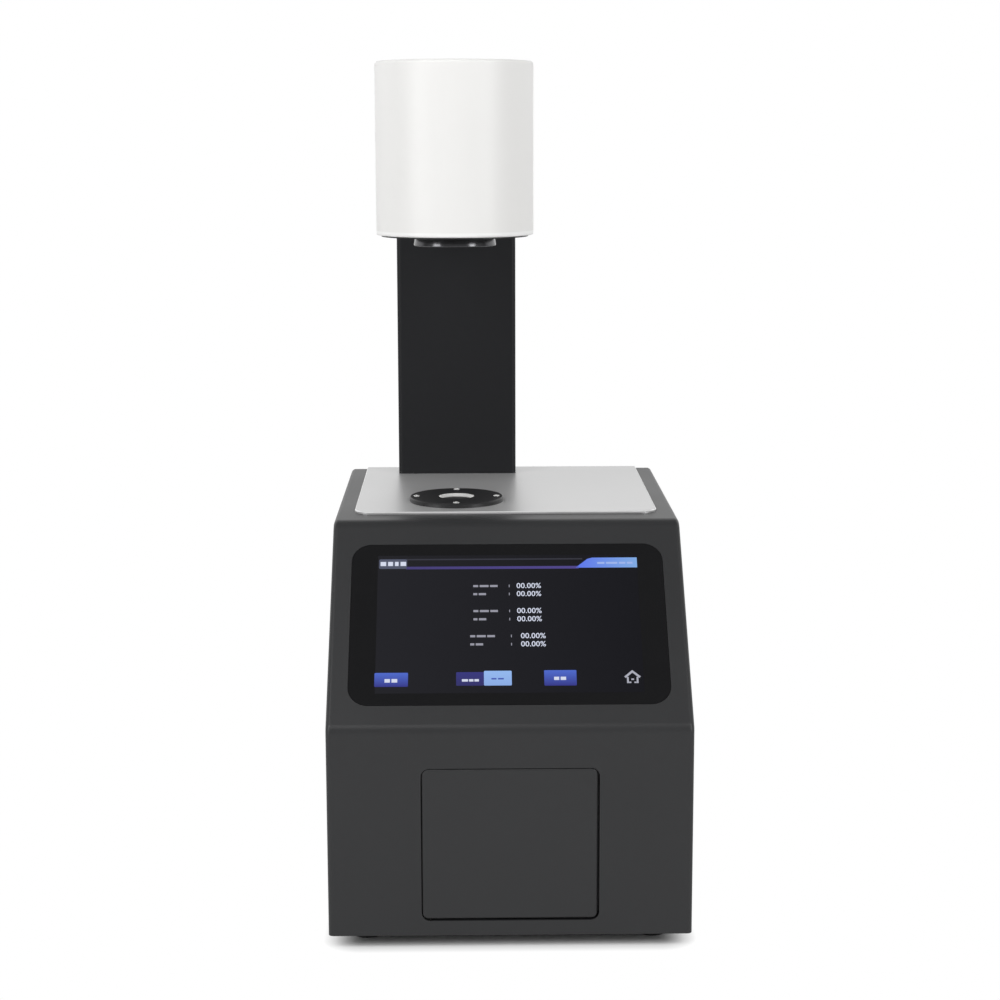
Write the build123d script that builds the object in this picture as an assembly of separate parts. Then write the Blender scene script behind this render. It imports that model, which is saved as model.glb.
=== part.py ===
from build123d import *
from math import atan2, cos, pi, sin
import os

# Haze meter with a top sample port, a light source head on a column and a
# sloped display. Millimetres. X to the right, Y to the back, Z up. The origin
# is on the bench, at the centre of the casing's footprint.

# Casing
CASING_W = 215.0
CASING_D = 310.0
CASING_H = 230.0
WALL = 3.0
CREASE_H = 126.0
SLOPE_SETBACK = 104.0
CREASE_R = 8.0
TOP_EDGE_R = 12.0
SIDE_EDGE_R = 3.0
BOSS_SIZE = 13.0
BOSS_GRIP = 10.0
PANEL_RECESS = 3.0
FIT = 0.2
SCREW_FIT = 0.1
SCREW_SHORT = 1.0

# Base and feet
FOOT_H = 8.0
FOOT_R = 11.0
FOOT_TAPER = 1.5
FOOT_POCKET = 4.0
FOOT_INSET_X = 22.0
FOOT_INSET_Y = 26.0
BASE_T = 2.0
BASE_FLANGE_H = 14.0
BASE_FLANGE_T = 1.5
REAR_PANEL_T = 2.0

# Top deck
DECK_W = 192.0
DECK_T = 3.0
DECK_PROUD = 1.5
DECK_FRONT = 126.5
DECK_BACK_MARGIN = 1.0
DECK_CORNER_R = 12.0
DECK_BEVEL = 0.6
DECK_LEDGE = 10.0

# Optical axis and integrating sphere
OPTIC_X = -31.5
OPTIC_SETBACK = 168.8
PORT_R = 10.5
RING_WALL = 1.0
RING_SUNK = 0.3
FLANGE_R = 30.5
FLANGE_T = 3.0
FLANGE_BEVEL = 0.8
PORT_SCREW_PCD = 52.0
PORT_SCREW_SUNK = 0.8
SPHERE_R = 50.0
SPHERE_WALL = 5.0
SPHERE_CORNER = 24.0
CAVITY_STEPS = 4
PORT_PAD = 56.0
EAR_REACH = 13.0
EAR_W = 40.0
EAR_T = 5.0
EAR_SCREW_INSET = 8.0
CLAMP_SCREW_END = 3.0
EXIT_R = 13.0
EXIT_SPIGOT_R = 17.0
DETECTOR_PORT_R = 7.0
DETECTOR_RISE = 22.0
DETECTOR_FLANGE = (30.0, 26.0, 3.0)
DETECTOR_TUBE_R = 11.0
DETECTOR_L = 18.0
DETECTOR_END_T = 4.0
DETECTOR_BOARD = (36.0, 30.0)
DETECTOR_PLUG = (12.0, 7.0, 4.4)

# Sphere stand, trap and reference paddle
STAND_T = 4.0
STAND_LEG_T = 3.0
STAND_DEPTH = 70.0
STAND_FOOT = 12.0
TRAP_R = 19.0
TRAP_WALL = 3.0
TRAP_GAP = 7.5
TRAP_CONE_MARGIN = 2.0
TRAP_CONE_TIP_R = 0.5
PADDLE_R = 17.0
PADDLE_T = 3.5
PADDLE_GAP = 0.8
PADDLE_REACH = 38.0
MOTOR_R = 10.0
MOTOR_H = 20.0
MOTOR_SHAFT_R = 1.5
MOTOR_DROP = 3.0
PADDLE_ARM_W = 8.0
PADDLE_HUB_R = 5.0
SHAFT_FIT = 0.05
BRACKET_T = 2.0

# Display
GLASS_W = 190.0
GLASS_H = 113.0
GLASS_T = 2.0
GLASS_UP = 16.0
GLASS_CORNER_R = 12.0
GLASS_GAP = 0.25
LCD_W = 165.0
LCD_H = 102.0
LCD_T = 4.0
LCD_GAP = 0.75
RIM_DEPTH = 6.5
RIM_MARGIN = 5.0
DISPLAY_BRACKET_T = 1.5
DISPLAY_STANDOFF = 4.0
DISPLAY_BOARD_W = 140.0
DISPLAY_BOARD_H = 84.0
DISPLAY_BRACKET_MARGIN = 2.0
DISPLAY_SPACER_R = 3.0
DISPLAY_SPACER_INSET = 6.0
CHIP_T = 1.8
# Chips on the display board: middle to the right, lower edge up the board, side.
DISPLAY_CHIPS = ((-30.0, 30.0, 16.0), (12.0, 36.0, 12.0), (45.0, 22.0, 20.0))
BOARD_T = 1.6

# Door and accessory compartment
DOOR_W = 102.5
DOOR_H = 91.0
DOOR_BOTTOM = 10.0
DOOR_T = 3.0
DOOR_GAP = 1.1
DOOR_CORNER_R = 4.0
HINGE_INSET = 4.0
HINGE_PIN_R = 0.8
HINGE_PIN_IN_DOOR = 12.0
HINGE_PIN_IN_CASING = 5.0
HINGE_FIT = 0.05
HINGE_END_GAP = 0.5
PRESS_FIT = 0.02
DOOR_RELIEF = (78.5, 61.0, 1.0)
DOOR_RELIEF_SHIFT = -4.0
RIB_DEPTH = 3.5
RIB_T = 5.0
BIN_WALL = 2.0
BIN_DEPTH = 80.0
BIN_LEFT = -44.0
BIN_RIGHT = 34.0
BIN_MARGIN_Z = 3.0
PLUNGER_R = 2.5
PLUNGER_FIT = 0.06
PLUNGER_L = 24.0
PLUNGER_HOLE_FIT = 0.5
PLUNGER_GAP = 0.3
LATCH_END_T = 3.0
LATCH_X = 42.0
LATCH_W = 11.0
LATCH_H = 12.0
LATCH_L = 34.0
STRIKE_T = 1.2
STRIKE_W = 8.0
STRIKE_H = 16.0
BIN_RIB_PLACES = (25.0, 70.0)

# Column and head
COLUMN_W = 82.0
COLUMN_D = 30.0
COLUMN_WALL = 2.5
COLUMN_R = 3.0
COLUMN_BACK_MARGIN = 1.5
COLUMN_H = 271.0
COLUMN_FOOT_H = 12.0
COLUMN_SCREW_INSET = (12.0, 8.0)
BACKING_T = 4.0
BACKING_REACH = 6.0
BACKING_GAP = 1.0
CAP_T = 3.0
CAP_SPIGOT = 6.0
HEAD_R = 50.0
HEAD_H = 107.0
HEAD_WALL = 2.5
HEAD_TOP_T = 3.0
HEAD_EDGE = 1.4
HEAD_CLEAR = 170.0
HEAD_BASE_R = 46.7
HEAD_BASE_T = 8.0
HEAD_BASE_DROP = 2.0
ARM_W = 56.0
ARM_H = 40.0
ARM_EDGE_R = 5.0
ARM_BARREL_GAP = 6.0
ARM_SLOT_GAP = 1.0
ARM_SCREW_GRIP = 14.0
ARM_SCREW_INSET = (10.0, 9.0)
NOSE_R = 26.3
NOSE_H = 6.0
NOSE_EDGE = 1.6
BARREL_R = 22.0
BARREL_BORE_R = 19.0
BARREL_H = 53.0
LENS_T = 6.0
LENS_SEAT = 2.5
LENS_SEAT_W = 2.0
APERTURE_T = 3.0
APERTURE_R = 1.5
DIODE_W = 5.0
DIODE_T = 1.5
LAMP_BOARD_W = 34.0
SINK_W = 58.0
SINK_BASE_T = 5.0
FIN_H = 22.0
FIN_T = 2.0
FIN_COUNT = 8
POST_R = 4.5
POST_OFFSET = 38.0
POST_GRIP = 8.0

# Electronics and rear connectors
MAIN_BOARD_W = 46.0
MAIN_BOARD_L = 98.0
BOARD_SUPPLY_GAP = 6.5
CHIP_SUNK = 0.2
# Chip on the main board: from its left and front edge, side, height.
MAIN_CHIP = (14.0, 40.0, 18.0, 2.2)
# Plug socket on the main board: from its left and front edge, width, depth.
MAIN_PLUG = (10.0, 8.0, 26.0, 6.0)
STANDOFF_H = 8.0
PLUG_H = 8.0
STANDOFF_R = 3.5
STANDOFF_INSET = 5.0
SUPPLY_W = 48.0
SUPPLY_L = 66.0
SUPPLY_H = 36.0
SUPPLY_BOSS_GAP = 2.0
STRIP_STEP = 14.0
STRIP_MARGIN = 4.0
TERMINAL_COUNT = 5
TERMINAL_W = 6.0
TERMINAL_H = 7.0
SIDE_MARGIN = 6.0
VENT_ROWS = 6
VENT_PITCH = 9.0
VENT_DROP = 40.0
VENT_X = 50.0
VENT_W = 60.0
VENT_H = 3.0
INLET_SIDE_MARGIN = 33.5
CONNECTOR_Z = 72.0
INLET_W = 27.0
INLET_H = 20.0
INLET_DEPTH = 22.0
INLET_FLANGE = 3.0
INLET_FLANGE_T = 2.0
SOCKET_W = 24.0
SOCKET_H = 16.6
SOCKET_DEPTH = 16.5
SOCKET_CHAMFER = 4.0
# Blades of the mains inlet: right of its middle, above its middle.
INLET_BLADES = ((-7.0, -2.0), (0.0, 2.0), (7.0, -2.0))
BLADE_W = 2.0
BLADE_H = 4.0
BLADE_SHORT = 3.0
SWITCH_INLET_PITCH = 34.0
SWITCH_W = 13.0
SWITCH_H = 20.0
SWITCH_DEPTH = 15.0
SWITCH_LIP = 1.5
ROCKER_W = 9.6
ROCKER_TILT = 10.0
ROCKER_PIN_R = 1.2
ROCKER_PIN_REACH = 1.1
ROCKER_PIVOT_DEPTH = 6.0
# Side section of the rocker round its pivot: to the back, up.
ROCKER_SECTION = ((-2.5, -3.0), (-2.5, 3.0), (2.2, 7.2), (5.0, 7.0),
                  (3.8, 0.0), (5.0, -7.0), (2.2, -7.2))
USB_SIDE_MARGIN = 47.5
USB_W = 12.0
USB_H = 11.0
USB_DEPTH = 16.0
USB_PROUD = 1.5
USB_OPENING = (8.5, 7.8, 12.0)
USB_TONGUE = (5.6, 3.2)
USB_TONGUE_SHORT = 2.0

# Sides of what is round in life but small or closed in, which keeps facets few
COVER_SIDES = 48
ROUND_SIDES = 16
HEAD_SIDES = 8
SHANK_SIDES = 6

# Screws: shank radius, head radius, head height
SMALL_SCREW = (1.25, 2.1, 1.2)
MEDIUM_SCREW = (1.5, 2.75, 1.6)
LARGE_SCREW = (2.5, 4.25, 3.0)

# Places that follow from the sizes
X_SIDE = CASING_W / 2
X_INNER = X_SIDE - WALL
Y_FRONT = -CASING_D / 2
Y_BACK = CASING_D / 2
Y_FRONT_INNER = Y_FRONT + WALL
Y_PANEL = Y_BACK - PANEL_RECESS
Z_BASE = FOOT_H
Z_FLOOR = Z_BASE + BASE_T
Z_CREASE = Z_BASE + CREASE_H
Z_TOP = Z_BASE + CASING_H
Z_ROOF = Z_TOP - WALL
SLOPE_ANGLE = atan2(CASING_H - CREASE_H, SLOPE_SETBACK)
SLOPE = Plane(
    origin=(0, Y_FRONT, Z_CREASE),
    x_dir=(1, 0, 0),
    z_dir=(0, -sin(SLOPE_ANGLE), cos(SLOPE_ANGLE)),
).location
Z_DECK = Z_TOP + DECK_PROUD
Z_DECK_UNDER = Z_DECK - DECK_T
Y_DECK_FRONT = Y_FRONT + DECK_FRONT
Y_DECK_BACK = Y_BACK - DECK_BACK_MARGIN
OPTIC_Y = Y_FRONT + OPTIC_SETBACK
RING_R = PORT_R + RING_WALL
SPHERE_HALF = SPHERE_R + SPHERE_WALL
Z_SPHERE_TOP = Z_ROOF - 0.5
Z_SPHERE = Z_SPHERE_TOP - SPHERE_HALF
Z_SPHERE_BOTTOM = Z_SPHERE - SPHERE_HALF
Z_RING = Z_SPHERE + SPHERE_R
Z_STAND_UNDER = Z_SPHERE_BOTTOM - STAND_T
Z_PADDLE_TOP = Z_STAND_UNDER - PADDLE_GAP
Z_TRAP_TOP = Z_STAND_UNDER - TRAP_GAP
MOTOR_X = OPTIC_X + PADDLE_REACH
Z_MOTOR_TOP = Z_TRAP_TOP - MOTOR_DROP
DETECTOR_X = OPTIC_X + SPHERE_HALF
DETECTOR_Z = Z_SPHERE + DETECTOR_RISE
DOOR_Z = Z_BASE + DOOR_BOTTOM + DOOR_H / 2
HINGE_X = -DOOR_W / 2 + HINGE_INSET
HINGE_Y = Y_FRONT + DOOR_T / 2
Y_BIN = Y_FRONT_INNER + RIB_DEPTH
OPENING_W = DOOR_W + 2 * DOOR_GAP
OPENING_H = DOOR_H + 2 * DOOR_GAP
COLUMN_BACK = Y_BACK - COLUMN_BACK_MARGIN
COLUMN_FRONT = COLUMN_BACK - COLUMN_D
COLUMN_Y = COLUMN_BACK - COLUMN_D / 2
Z_COLUMN_TOP = Z_DECK + COLUMN_H
Z_FLANGE_TOP = Z_DECK + FLANGE_T
Z_HEAD = Z_FLANGE_TOP + HEAD_CLEAR
Z_HEAD_TOP = Z_HEAD + HEAD_H
Z_HEAD_BASE = Z_HEAD - HEAD_BASE_DROP
Z_ARM = Z_HEAD_BASE + HEAD_BASE_T
ARM_FRONT = OPTIC_Y + BARREL_R + ARM_BARREL_GAP
Z_BARREL_TOP = Z_HEAD_BASE + BARREL_H
Z_LED = Z_BARREL_TOP + APERTURE_T
Z_SINK = Z_LED + BOARD_T
Z_ARM_MIDDLE = Z_ARM + ARM_H / 2
FOOT_X = X_SIDE - FOOT_INSET_X
FOOT_Y = CASING_D / 2 - FOOT_INSET_Y
DISPLAY_MIDDLE = GLASS_UP + GLASS_H / 2
X_BOARDS = X_INNER - SIDE_MARGIN
Y_SUPPLY_BACK = FOOT_Y - BOSS_SIZE / 2 - SUPPLY_BOSS_GAP
Y_BOARD_BACK = Y_SUPPLY_BACK - SUPPLY_L - BOARD_SUPPLY_GAP
INLET_X = X_SIDE - INLET_SIDE_MARGIN
SWITCH_X = INLET_X - SWITCH_INLET_PITCH
USB_X = USB_SIDE_MARGIN - X_SIDE


def block(x0, x1, y0, y1, z0, z1):
    """Box between two corners."""
    middle = Pos((x0 + x1) / 2, (y0 + y1) / 2, (z0 + z1) / 2)
    return middle * Box(x1 - x0, y1 - y0, z1 - z0)


def rod_z(x, y, z0, z1, radius):
    """Upright cylinder."""
    return Pos(x, y, (z0 + z1) / 2) * Cylinder(radius, z1 - z0)


def rod_y(x, z, y0, y1, radius):
    """Cylinder along Y."""
    return Pos(x, (y0 + y1) / 2, z) * Rot(90, 0, 0) * Cylinder(radius, y1 - y0)


def rod_x(y, z, x0, x1, radius):
    """Cylinder along X."""
    return Pos((x0 + x1) / 2, y, z) * Rot(0, 90, 0) * Cylinder(radius, x1 - x0)


def upright_panel(width, height, corner, x, z, y0, y1):
    """Panel with rounded corners that faces the front."""
    return Pos(x, y1, z) * Rot(90, 0, 0) * extrude(RectangleRounded(width, height, corner), y1 - y0)


def slope_panel(width, height, corner, up, depth, thickness):
    """Panel parallel to the slope, its lower edge up from the crease."""
    outline = RectangleRounded(width, height, corner)
    return SLOPE * Pos(0, up + height / 2, -depth - thickness) * extrude(outline, thickness)


def slope_block(x, width, height, up, depth, thickness):
    """Square-cornered block parallel to the slope, its middle at x."""
    return SLOPE * Pos(x, up + height / 2, -depth - thickness / 2) * Box(width, height, thickness)


def prism(x, y, z0, z1, radius, sides):
    """Upright prism with so many sides."""
    return Pos(x, y, z0) * extrude(RegularPolygon(radius, sides), z1 - z0)


def faceted(profile, sides):
    """Turned form in flat facets, through (radius, z) points from below up."""
    rings = []
    for radius, z in profile:
        angles = [2 * pi * index / sides for index in range(sides)]
        rings.append([(radius * cos(angle), radius * sin(angle), z) for angle in angles])
    faces = [Face(Wire.make_polygon(rings[0])), Face(Wire.make_polygon(rings[-1]))]
    for low, high in zip(rings, rings[1:]):
        for index in range(sides):
            after = (index + 1) % sides
            outline = (low[index], low[after], high[after], high[index])
            faces.append(Face(Wire.make_polygon(outline)))
    return Solid(Shell(faces))


def optic_prism(z0, z1, radius):
    """Closed-in round piece on the optical axis, in flat sides."""
    return prism(OPTIC_X, OPTIC_Y, z0, z1, radius, ROUND_SIDES)


def optic_hole(z0, z1, radius):
    """Flat-sided hole on the optical axis that clears a round piece."""
    return optic_prism(z0, z1, radius / cos(pi / ROUND_SIDES))


def optic_block(width, z0, z1):
    """Square block on the optical axis."""
    half = width / 2
    return block(OPTIC_X - half, OPTIC_X + half, OPTIC_Y - half, OPTIC_Y + half, z0, z1)


def screw(sizes, length, head_sides):
    """Screw along -Z with its head resting on z = 0."""
    shank_r, head_r, head_h = sizes
    return prism(0, 0, 0, head_h, head_r, head_sides) + prism(0, 0, -length, 0, shank_r, SHANK_SIDES)


def screw_hole(sizes, depth):
    """Clearance hole for a screw's shank, from just over z = 0 down."""
    return prism(0, 0, -depth, 1, sizes[0] + SCREW_FIT, SHANK_SIDES)


def head_pocket(sizes, depth, over=0):
    """Pocket for a screw's head, from z = over down."""
    return prism(0, 0, -depth, over, sizes[1] + FIT, HEAD_SIDES)


def turned_down():
    """Turns a screw over, so that its head is below."""
    return Rot(180, 0, 0)


def facing_back():
    """Turns a screw so that its head faces the back."""
    return Rot(-90, 0, 0)


def facing_right():
    """Turns what faces up to the right, at the sphere's detector port."""
    return Pos(DETECTOR_X, OPTIC_Y, DETECTOR_Z) * Rot(0, 90, 0)


def corners(half_x, half_y):
    """Four corner points round the origin."""
    return [(sx * half_x, sy * half_y) for sx in (-1, 1) for sy in (-1, 1)]


FOOT_POINTS = corners(FOOT_X, FOOT_Y)
PANEL_BOSS_X = X_INNER - BOSS_SIZE / 2
PANEL_BOSS_Z = (Z_FLOOR + 1.5 * BOSS_SIZE, Z_ROOF - BOSS_SIZE / 2)
PANEL_BOSS_POINTS = [(s * PANEL_BOSS_X, z) for s in (-1, 1) for z in PANEL_BOSS_Z]
PORT_SCREW_POINTS = [(PORT_SCREW_PCD / 2, 0), (-PORT_SCREW_PCD / 2, 0),
                     (0, PORT_SCREW_PCD / 2), (0, -PORT_SCREW_PCD / 2)]
COLUMN_SCREW_POINTS = corners(COLUMN_W / 2 - COLUMN_SCREW_INSET[0],
                              COLUMN_D / 2 - COLUMN_SCREW_INSET[1])
ARM_SCREW_POINTS = corners(ARM_W / 2 - ARM_SCREW_INSET[0], ARM_H / 2 - ARM_SCREW_INSET[1])
EAR_SCREW_POINTS = corners(EAR_W / 2 - EAR_SCREW_INSET, SPHERE_HALF + EAR_REACH / 2)
POST_POINTS = [(OPTIC_X - POST_OFFSET, OPTIC_Y), (OPTIC_X + POST_OFFSET, OPTIC_Y)]


def casing_section(inset, reach):
    """Side section of the casing, drawn in by inset, longer by reach below and behind."""
    slope_y = Y_FRONT + inset * sin(SLOPE_ANGLE)
    slope_z = Z_CREASE - inset * cos(SLOPE_ANGLE)
    to_crease = (Y_FRONT + inset - slope_y) / cos(SLOPE_ANGLE)
    to_top = (Z_TOP - inset - slope_z) / sin(SLOPE_ANGLE)
    crease = (Y_FRONT + inset, slope_z + to_crease * sin(SLOPE_ANGLE))
    top = (slope_y + to_top * cos(SLOPE_ANGLE), Z_TOP - inset)
    outline = Polyline(
        (Y_FRONT + inset, Z_BASE - reach), crease, top,
        (Y_BACK + reach, Z_TOP - inset), (Y_BACK + reach, Z_BASE - reach), close=True)
    face = make_face(outline)
    for corner, radius in ((crease, CREASE_R - inset), (top, TOP_EDGE_R - inset)):
        face = fillet(face.vertices().sort_by_distance(corner)[0], radius)
    return Plane.YZ * face


def deck_outline(grow):
    """Outline of the deck plate, square at the back and grown by a fit."""
    width = DECK_W + 2 * grow
    front = Y_DECK_FRONT - grow
    plate = Pos(0, (front + Y_DECK_BACK) / 2) * Rectangle(width, Y_DECK_BACK - front)
    return fillet(plate.vertices().group_by(Axis.Y)[0], DECK_CORNER_R + grow)


def wall_boss(x, y0, y1, z0, z1):
    """Screw boss round x, joined to the nearer side wall."""
    near = abs(x) - BOSS_SIZE / 2
    if x > 0:
        return block(near, X_INNER + WALL / 2, y0, y1, z0, z1)
    return block(-X_INNER - WALL / 2, -near, y0, y1, z0, z1)


def casing():
    """Moulded casing: front, slope, roof and sides in one shell, open below and behind."""
    shell = extrude(casing_section(0, 0), X_SIDE, both=True)
    edges = [e for e in shell.edges()
             if abs(abs(e.center().X) - X_SIDE) < 0.01
             and e.center().Z > Z_BASE + 0.01 and abs(e.center().Y - Y_BACK) > 0.01]
    shell = fillet(edges, SIDE_EDGE_R)
    shell -= extrude(casing_section(WALL, WALL), X_INNER, both=True)
    rim_up = GLASS_UP - RIM_MARGIN
    shell += slope_block(0, GLASS_W + 2 * RIM_MARGIN, GLASS_H + 2 * RIM_MARGIN,
                         rim_up, WALL - 0.5, RIM_DEPTH - WALL + 0.5)
    half_w, half_h = OPENING_W / 2 + RIB_T, OPENING_H / 2 + RIB_T
    shell += block(-half_w, half_w, Y_FRONT_INNER - 0.5, Y_BIN, DOOR_Z - half_h, DOOR_Z + half_h)
    for x, y in FOOT_POINTS:
        shell += wall_boss(x, y - BOSS_SIZE / 2, y + BOSS_SIZE / 2, Z_FLOOR, Z_FLOOR + BOSS_SIZE)
    y_panel = Y_PANEL - REAR_PANEL_T
    for x, z in PANEL_BOSS_POINTS:
        shell += wall_boss(x, y_panel - BOSS_SIZE, y_panel, z - BOSS_SIZE / 2, z + BOSS_SIZE / 2)
    return casing_cuts(shell)


def column_holes(z, thickness):
    """Holes for the column's screws, up from z through a plate."""
    holes = []
    for x, y in COLUMN_SCREW_POINTS:
        holes.append(Pos(OPTIC_X + x, COLUMN_Y + y, z + thickness) * screw_hole(LARGE_SCREW, thickness + 1))
    return holes


def casing_cuts(shell):
    """Cuts the door, display, deck and screw openings of the casing."""
    shell -= upright_panel(OPENING_W, OPENING_H, DOOR_CORNER_R + DOOR_GAP, 0, DOOR_Z,
                           Y_FRONT - 1, Y_BIN + 1)
    shell -= rod_z(HINGE_X, HINGE_Y, DOOR_Z - OPENING_H / 2 - HINGE_PIN_IN_CASING,
                   DOOR_Z + OPENING_H / 2 + HINGE_PIN_IN_CASING, HINGE_PIN_R + HINGE_FIT)
    glass_up = GLASS_UP - GLASS_GAP
    shell -= slope_panel(GLASS_W + 2 * GLASS_GAP, GLASS_H + 2 * GLASS_GAP,
                         GLASS_CORNER_R + GLASS_GAP, glass_up, -1, GLASS_T + 1)
    window_h = LCD_H + 2 * LCD_GAP
    window_up = GLASS_UP + (GLASS_H - window_h) / 2
    shell -= slope_block(0, LCD_W + 2 * LCD_GAP, window_h, window_up, -1, RIM_DEPTH + 2)
    shell -= Pos(0, 0, Z_DECK_UNDER) * extrude(deck_outline(FIT), 2 * DECK_T)
    shell -= block(-DECK_W / 2, DECK_W / 2, Y_DECK_BACK - 1, Y_BACK + 1, Z_DECK_UNDER, Z_TOP + 1)
    inner = DECK_W / 2 - DECK_LEDGE
    shell -= block(-inner, inner, Y_DECK_FRONT + DECK_LEDGE, COLUMN_FRONT - DECK_LEDGE,
                   Z_ROOF - 1, Z_TOP + 1)
    shell -= column_holes(Z_ROOF, WALL)
    for x, y in FOOT_POINTS:
        shell -= Pos(x, y, Z_FLOOR) * turned_down() * screw_hole(MEDIUM_SCREW, BOSS_GRIP)
    for x, z in PANEL_BOSS_POINTS:
        place = Pos(x, Y_PANEL - REAR_PANEL_T, z) * facing_back()
        shell -= place * screw_hole(MEDIUM_SCREW, BOSS_GRIP)
    return shell


def base_plate():
    """Sheet steel floor with side flanges, held by the foot screws."""
    half_x = X_INNER - FIT
    back = Y_PANEL - REAR_PANEL_T - FIT
    plate = block(-half_x, half_x, Y_FRONT_INNER + FIT, back, Z_BASE, Z_FLOOR)
    flange_end = FOOT_Y - BOSS_SIZE
    for side in (-1, 1):
        low, high = sorted((side * half_x, side * (half_x - BASE_FLANGE_T)))
        plate += block(low, high, -flange_end, flange_end, Z_BASE, Z_BASE + BASE_FLANGE_H)
    for x, y in FOOT_POINTS:
        plate -= Pos(x, y, Z_FLOOR) * screw_hole(MEDIUM_SCREW, BASE_T + 1)
    return plate


def feet():
    """Four tapered rubber feet, with a pocket for the screw head."""
    foot = faceted([(FOOT_R - FOOT_TAPER, 0), (FOOT_R, FOOT_H)], ROUND_SIDES)
    foot -= Pos(0, 0, FOOT_POCKET) * head_pocket(MEDIUM_SCREW, FOOT_POCKET + 1)
    foot -= Pos(0, 0, FOOT_H) * screw_hole(MEDIUM_SCREW, FOOT_H + 1)
    return [Pos(x, y, 0) * foot for x, y in FOOT_POINTS]


def foot_screws():
    """Screws through the feet and the floor into the casing's bosses."""
    length = FOOT_H - FOOT_POCKET + BASE_T + BOSS_GRIP - SCREW_SHORT
    one = turned_down() * screw(MEDIUM_SCREW, length, HEAD_SIDES)
    return [Pos(x, y, FOOT_POCKET) * one for x, y in FOOT_POINTS]


def deck_plate():
    """Satin deck plate with a bright bevel and the port, cable and screw holes."""
    plate = extrude(deck_outline(0), DECK_T)
    rim = plate.faces().sort_by(Axis.Z)[-1].outer_wire().edges()
    plate = Pos(0, 0, Z_DECK_UNDER) * chamfer(rim, DECK_BEVEL)
    plate -= optic_hole(Z_DECK_UNDER - 1, Z_DECK + 1, RING_R + SCREW_FIT)
    for x, y in PORT_SCREW_POINTS:
        plate -= Pos(OPTIC_X + x, OPTIC_Y + y, Z_DECK) * screw_hole(SMALL_SCREW, DECK_T + 1)
    return plate - column_holes(Z_DECK_UNDER, DECK_T)


def port_flange():
    """Black disc round the sample port, with four screw pockets."""
    disc = Cylinder(FLANGE_R, FLANGE_T)
    disc = chamfer(disc.faces().sort_by(Axis.Z)[-1].edges(), FLANGE_BEVEL)
    disc = Pos(OPTIC_X, OPTIC_Y, Z_DECK + FLANGE_T / 2) * disc
    disc -= rod_z(OPTIC_X, OPTIC_Y, Z_DECK - 1, Z_FLANGE_TOP + 1, RING_R + SCREW_FIT)
    for x, y in PORT_SCREW_POINTS:
        place = Pos(OPTIC_X + x, OPTIC_Y + y, Z_FLANGE_TOP)
        disc -= place * screw_hole(SMALL_SCREW, FLANGE_T + 1)
        disc -= place * head_pocket(SMALL_SCREW, PORT_SCREW_SUNK, 1)
    return disc


def port_screws():
    """Four bright screws that hold the flange on the deck."""
    one = screw(SMALL_SCREW, FLANGE_T - PORT_SCREW_SUNK + DECK_T, HEAD_SIDES)
    z = Z_FLANGE_TOP - PORT_SCREW_SUNK
    return [Pos(OPTIC_X + x, OPTIC_Y + y, z) * one for x, y in PORT_SCREW_POINTS]


def port_ring():
    """White lining of the sample port, seated on the sphere's shoulder."""
    ring = prism(OPTIC_X, OPTIC_Y, Z_RING, Z_FLANGE_TOP - RING_SUNK, RING_R, COVER_SIDES)
    return ring - prism(OPTIC_X, OPTIC_Y, Z_RING - 1, Z_FLANGE_TOP + 1, PORT_R / cos(pi / COVER_SIDES),
                        COVER_SIDES)


def cavity():
    """Round cavity of the sphere, in flat facets."""
    profile = []
    for step in range(1, 2 * CAVITY_STEPS):
        angle = pi / 2 * step / CAVITY_STEPS
        profile.append((SPHERE_R * sin(angle), -SPHERE_R * cos(angle)))
    return Pos(OPTIC_X, OPTIC_Y, Z_SPHERE) * faceted(profile, ROUND_SIDES)


def sphere_half(z0, z1):
    """Octagonal block of one half of the sphere, with clamp ears at the seam."""
    height = z1 - z0
    half = Box(2 * SPHERE_HALF, 2 * SPHERE_HALF, height)
    half = chamfer(half.edges().filter_by(Axis.Z), SPHERE_CORNER)
    half = Pos(OPTIC_X, OPTIC_Y, (z0 + z1) / 2) * half
    reach = SPHERE_HALF + EAR_REACH
    ear_z = (Z_SPHERE, Z_SPHERE + EAR_T) if z0 >= Z_SPHERE else (Z_SPHERE - EAR_T, Z_SPHERE)
    half += block(OPTIC_X - EAR_W / 2, OPTIC_X + EAR_W / 2, OPTIC_Y - reach, OPTIC_Y + reach, *ear_z)
    for x, y in EAR_SCREW_POINTS:
        half -= Pos(OPTIC_X + x, OPTIC_Y + y, ear_z[1]) * screw_hole(MEDIUM_SCREW, EAR_T + 1)
    return half


def sphere_upper():
    """Upper half of the integrating sphere, with the sample and detector ports."""
    half = sphere_half(Z_SPHERE, Z_SPHERE_TOP)
    half += optic_block(PORT_PAD, Z_SPHERE_TOP - 1, Z_DECK_UNDER)
    half -= cavity()
    half -= optic_prism(Z_SPHERE + SPHERE_R / 2, Z_DECK_UNDER + 1, PORT_R)
    half -= optic_hole(Z_RING, Z_DECK_UNDER + 1, RING_R + SCREW_FIT)
    return half - facing_right() * prism(0, 0, -SPHERE_HALF, 1, DETECTOR_PORT_R, HEAD_SIDES)


def sphere_lower():
    """Lower half of the integrating sphere, with the exit port and its spigot."""
    half = sphere_half(Z_SPHERE_BOTTOM, Z_SPHERE)
    half += optic_prism(Z_STAND_UNDER, Z_SPHERE_BOTTOM + 1, EXIT_SPIGOT_R)
    half -= cavity()
    return half - optic_prism(Z_STAND_UNDER - 1, Z_SPHERE - SPHERE_R / 2, EXIT_R)


def sphere_clamp_screws():
    """Four screws that clamp the sphere's halves."""
    one = screw(MEDIUM_SCREW, 2 * EAR_T + CLAMP_SCREW_END, SHANK_SIDES)
    return [Pos(OPTIC_X + x, OPTIC_Y + y, Z_SPHERE + EAR_T) * one for x, y in EAR_SCREW_POINTS]


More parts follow.
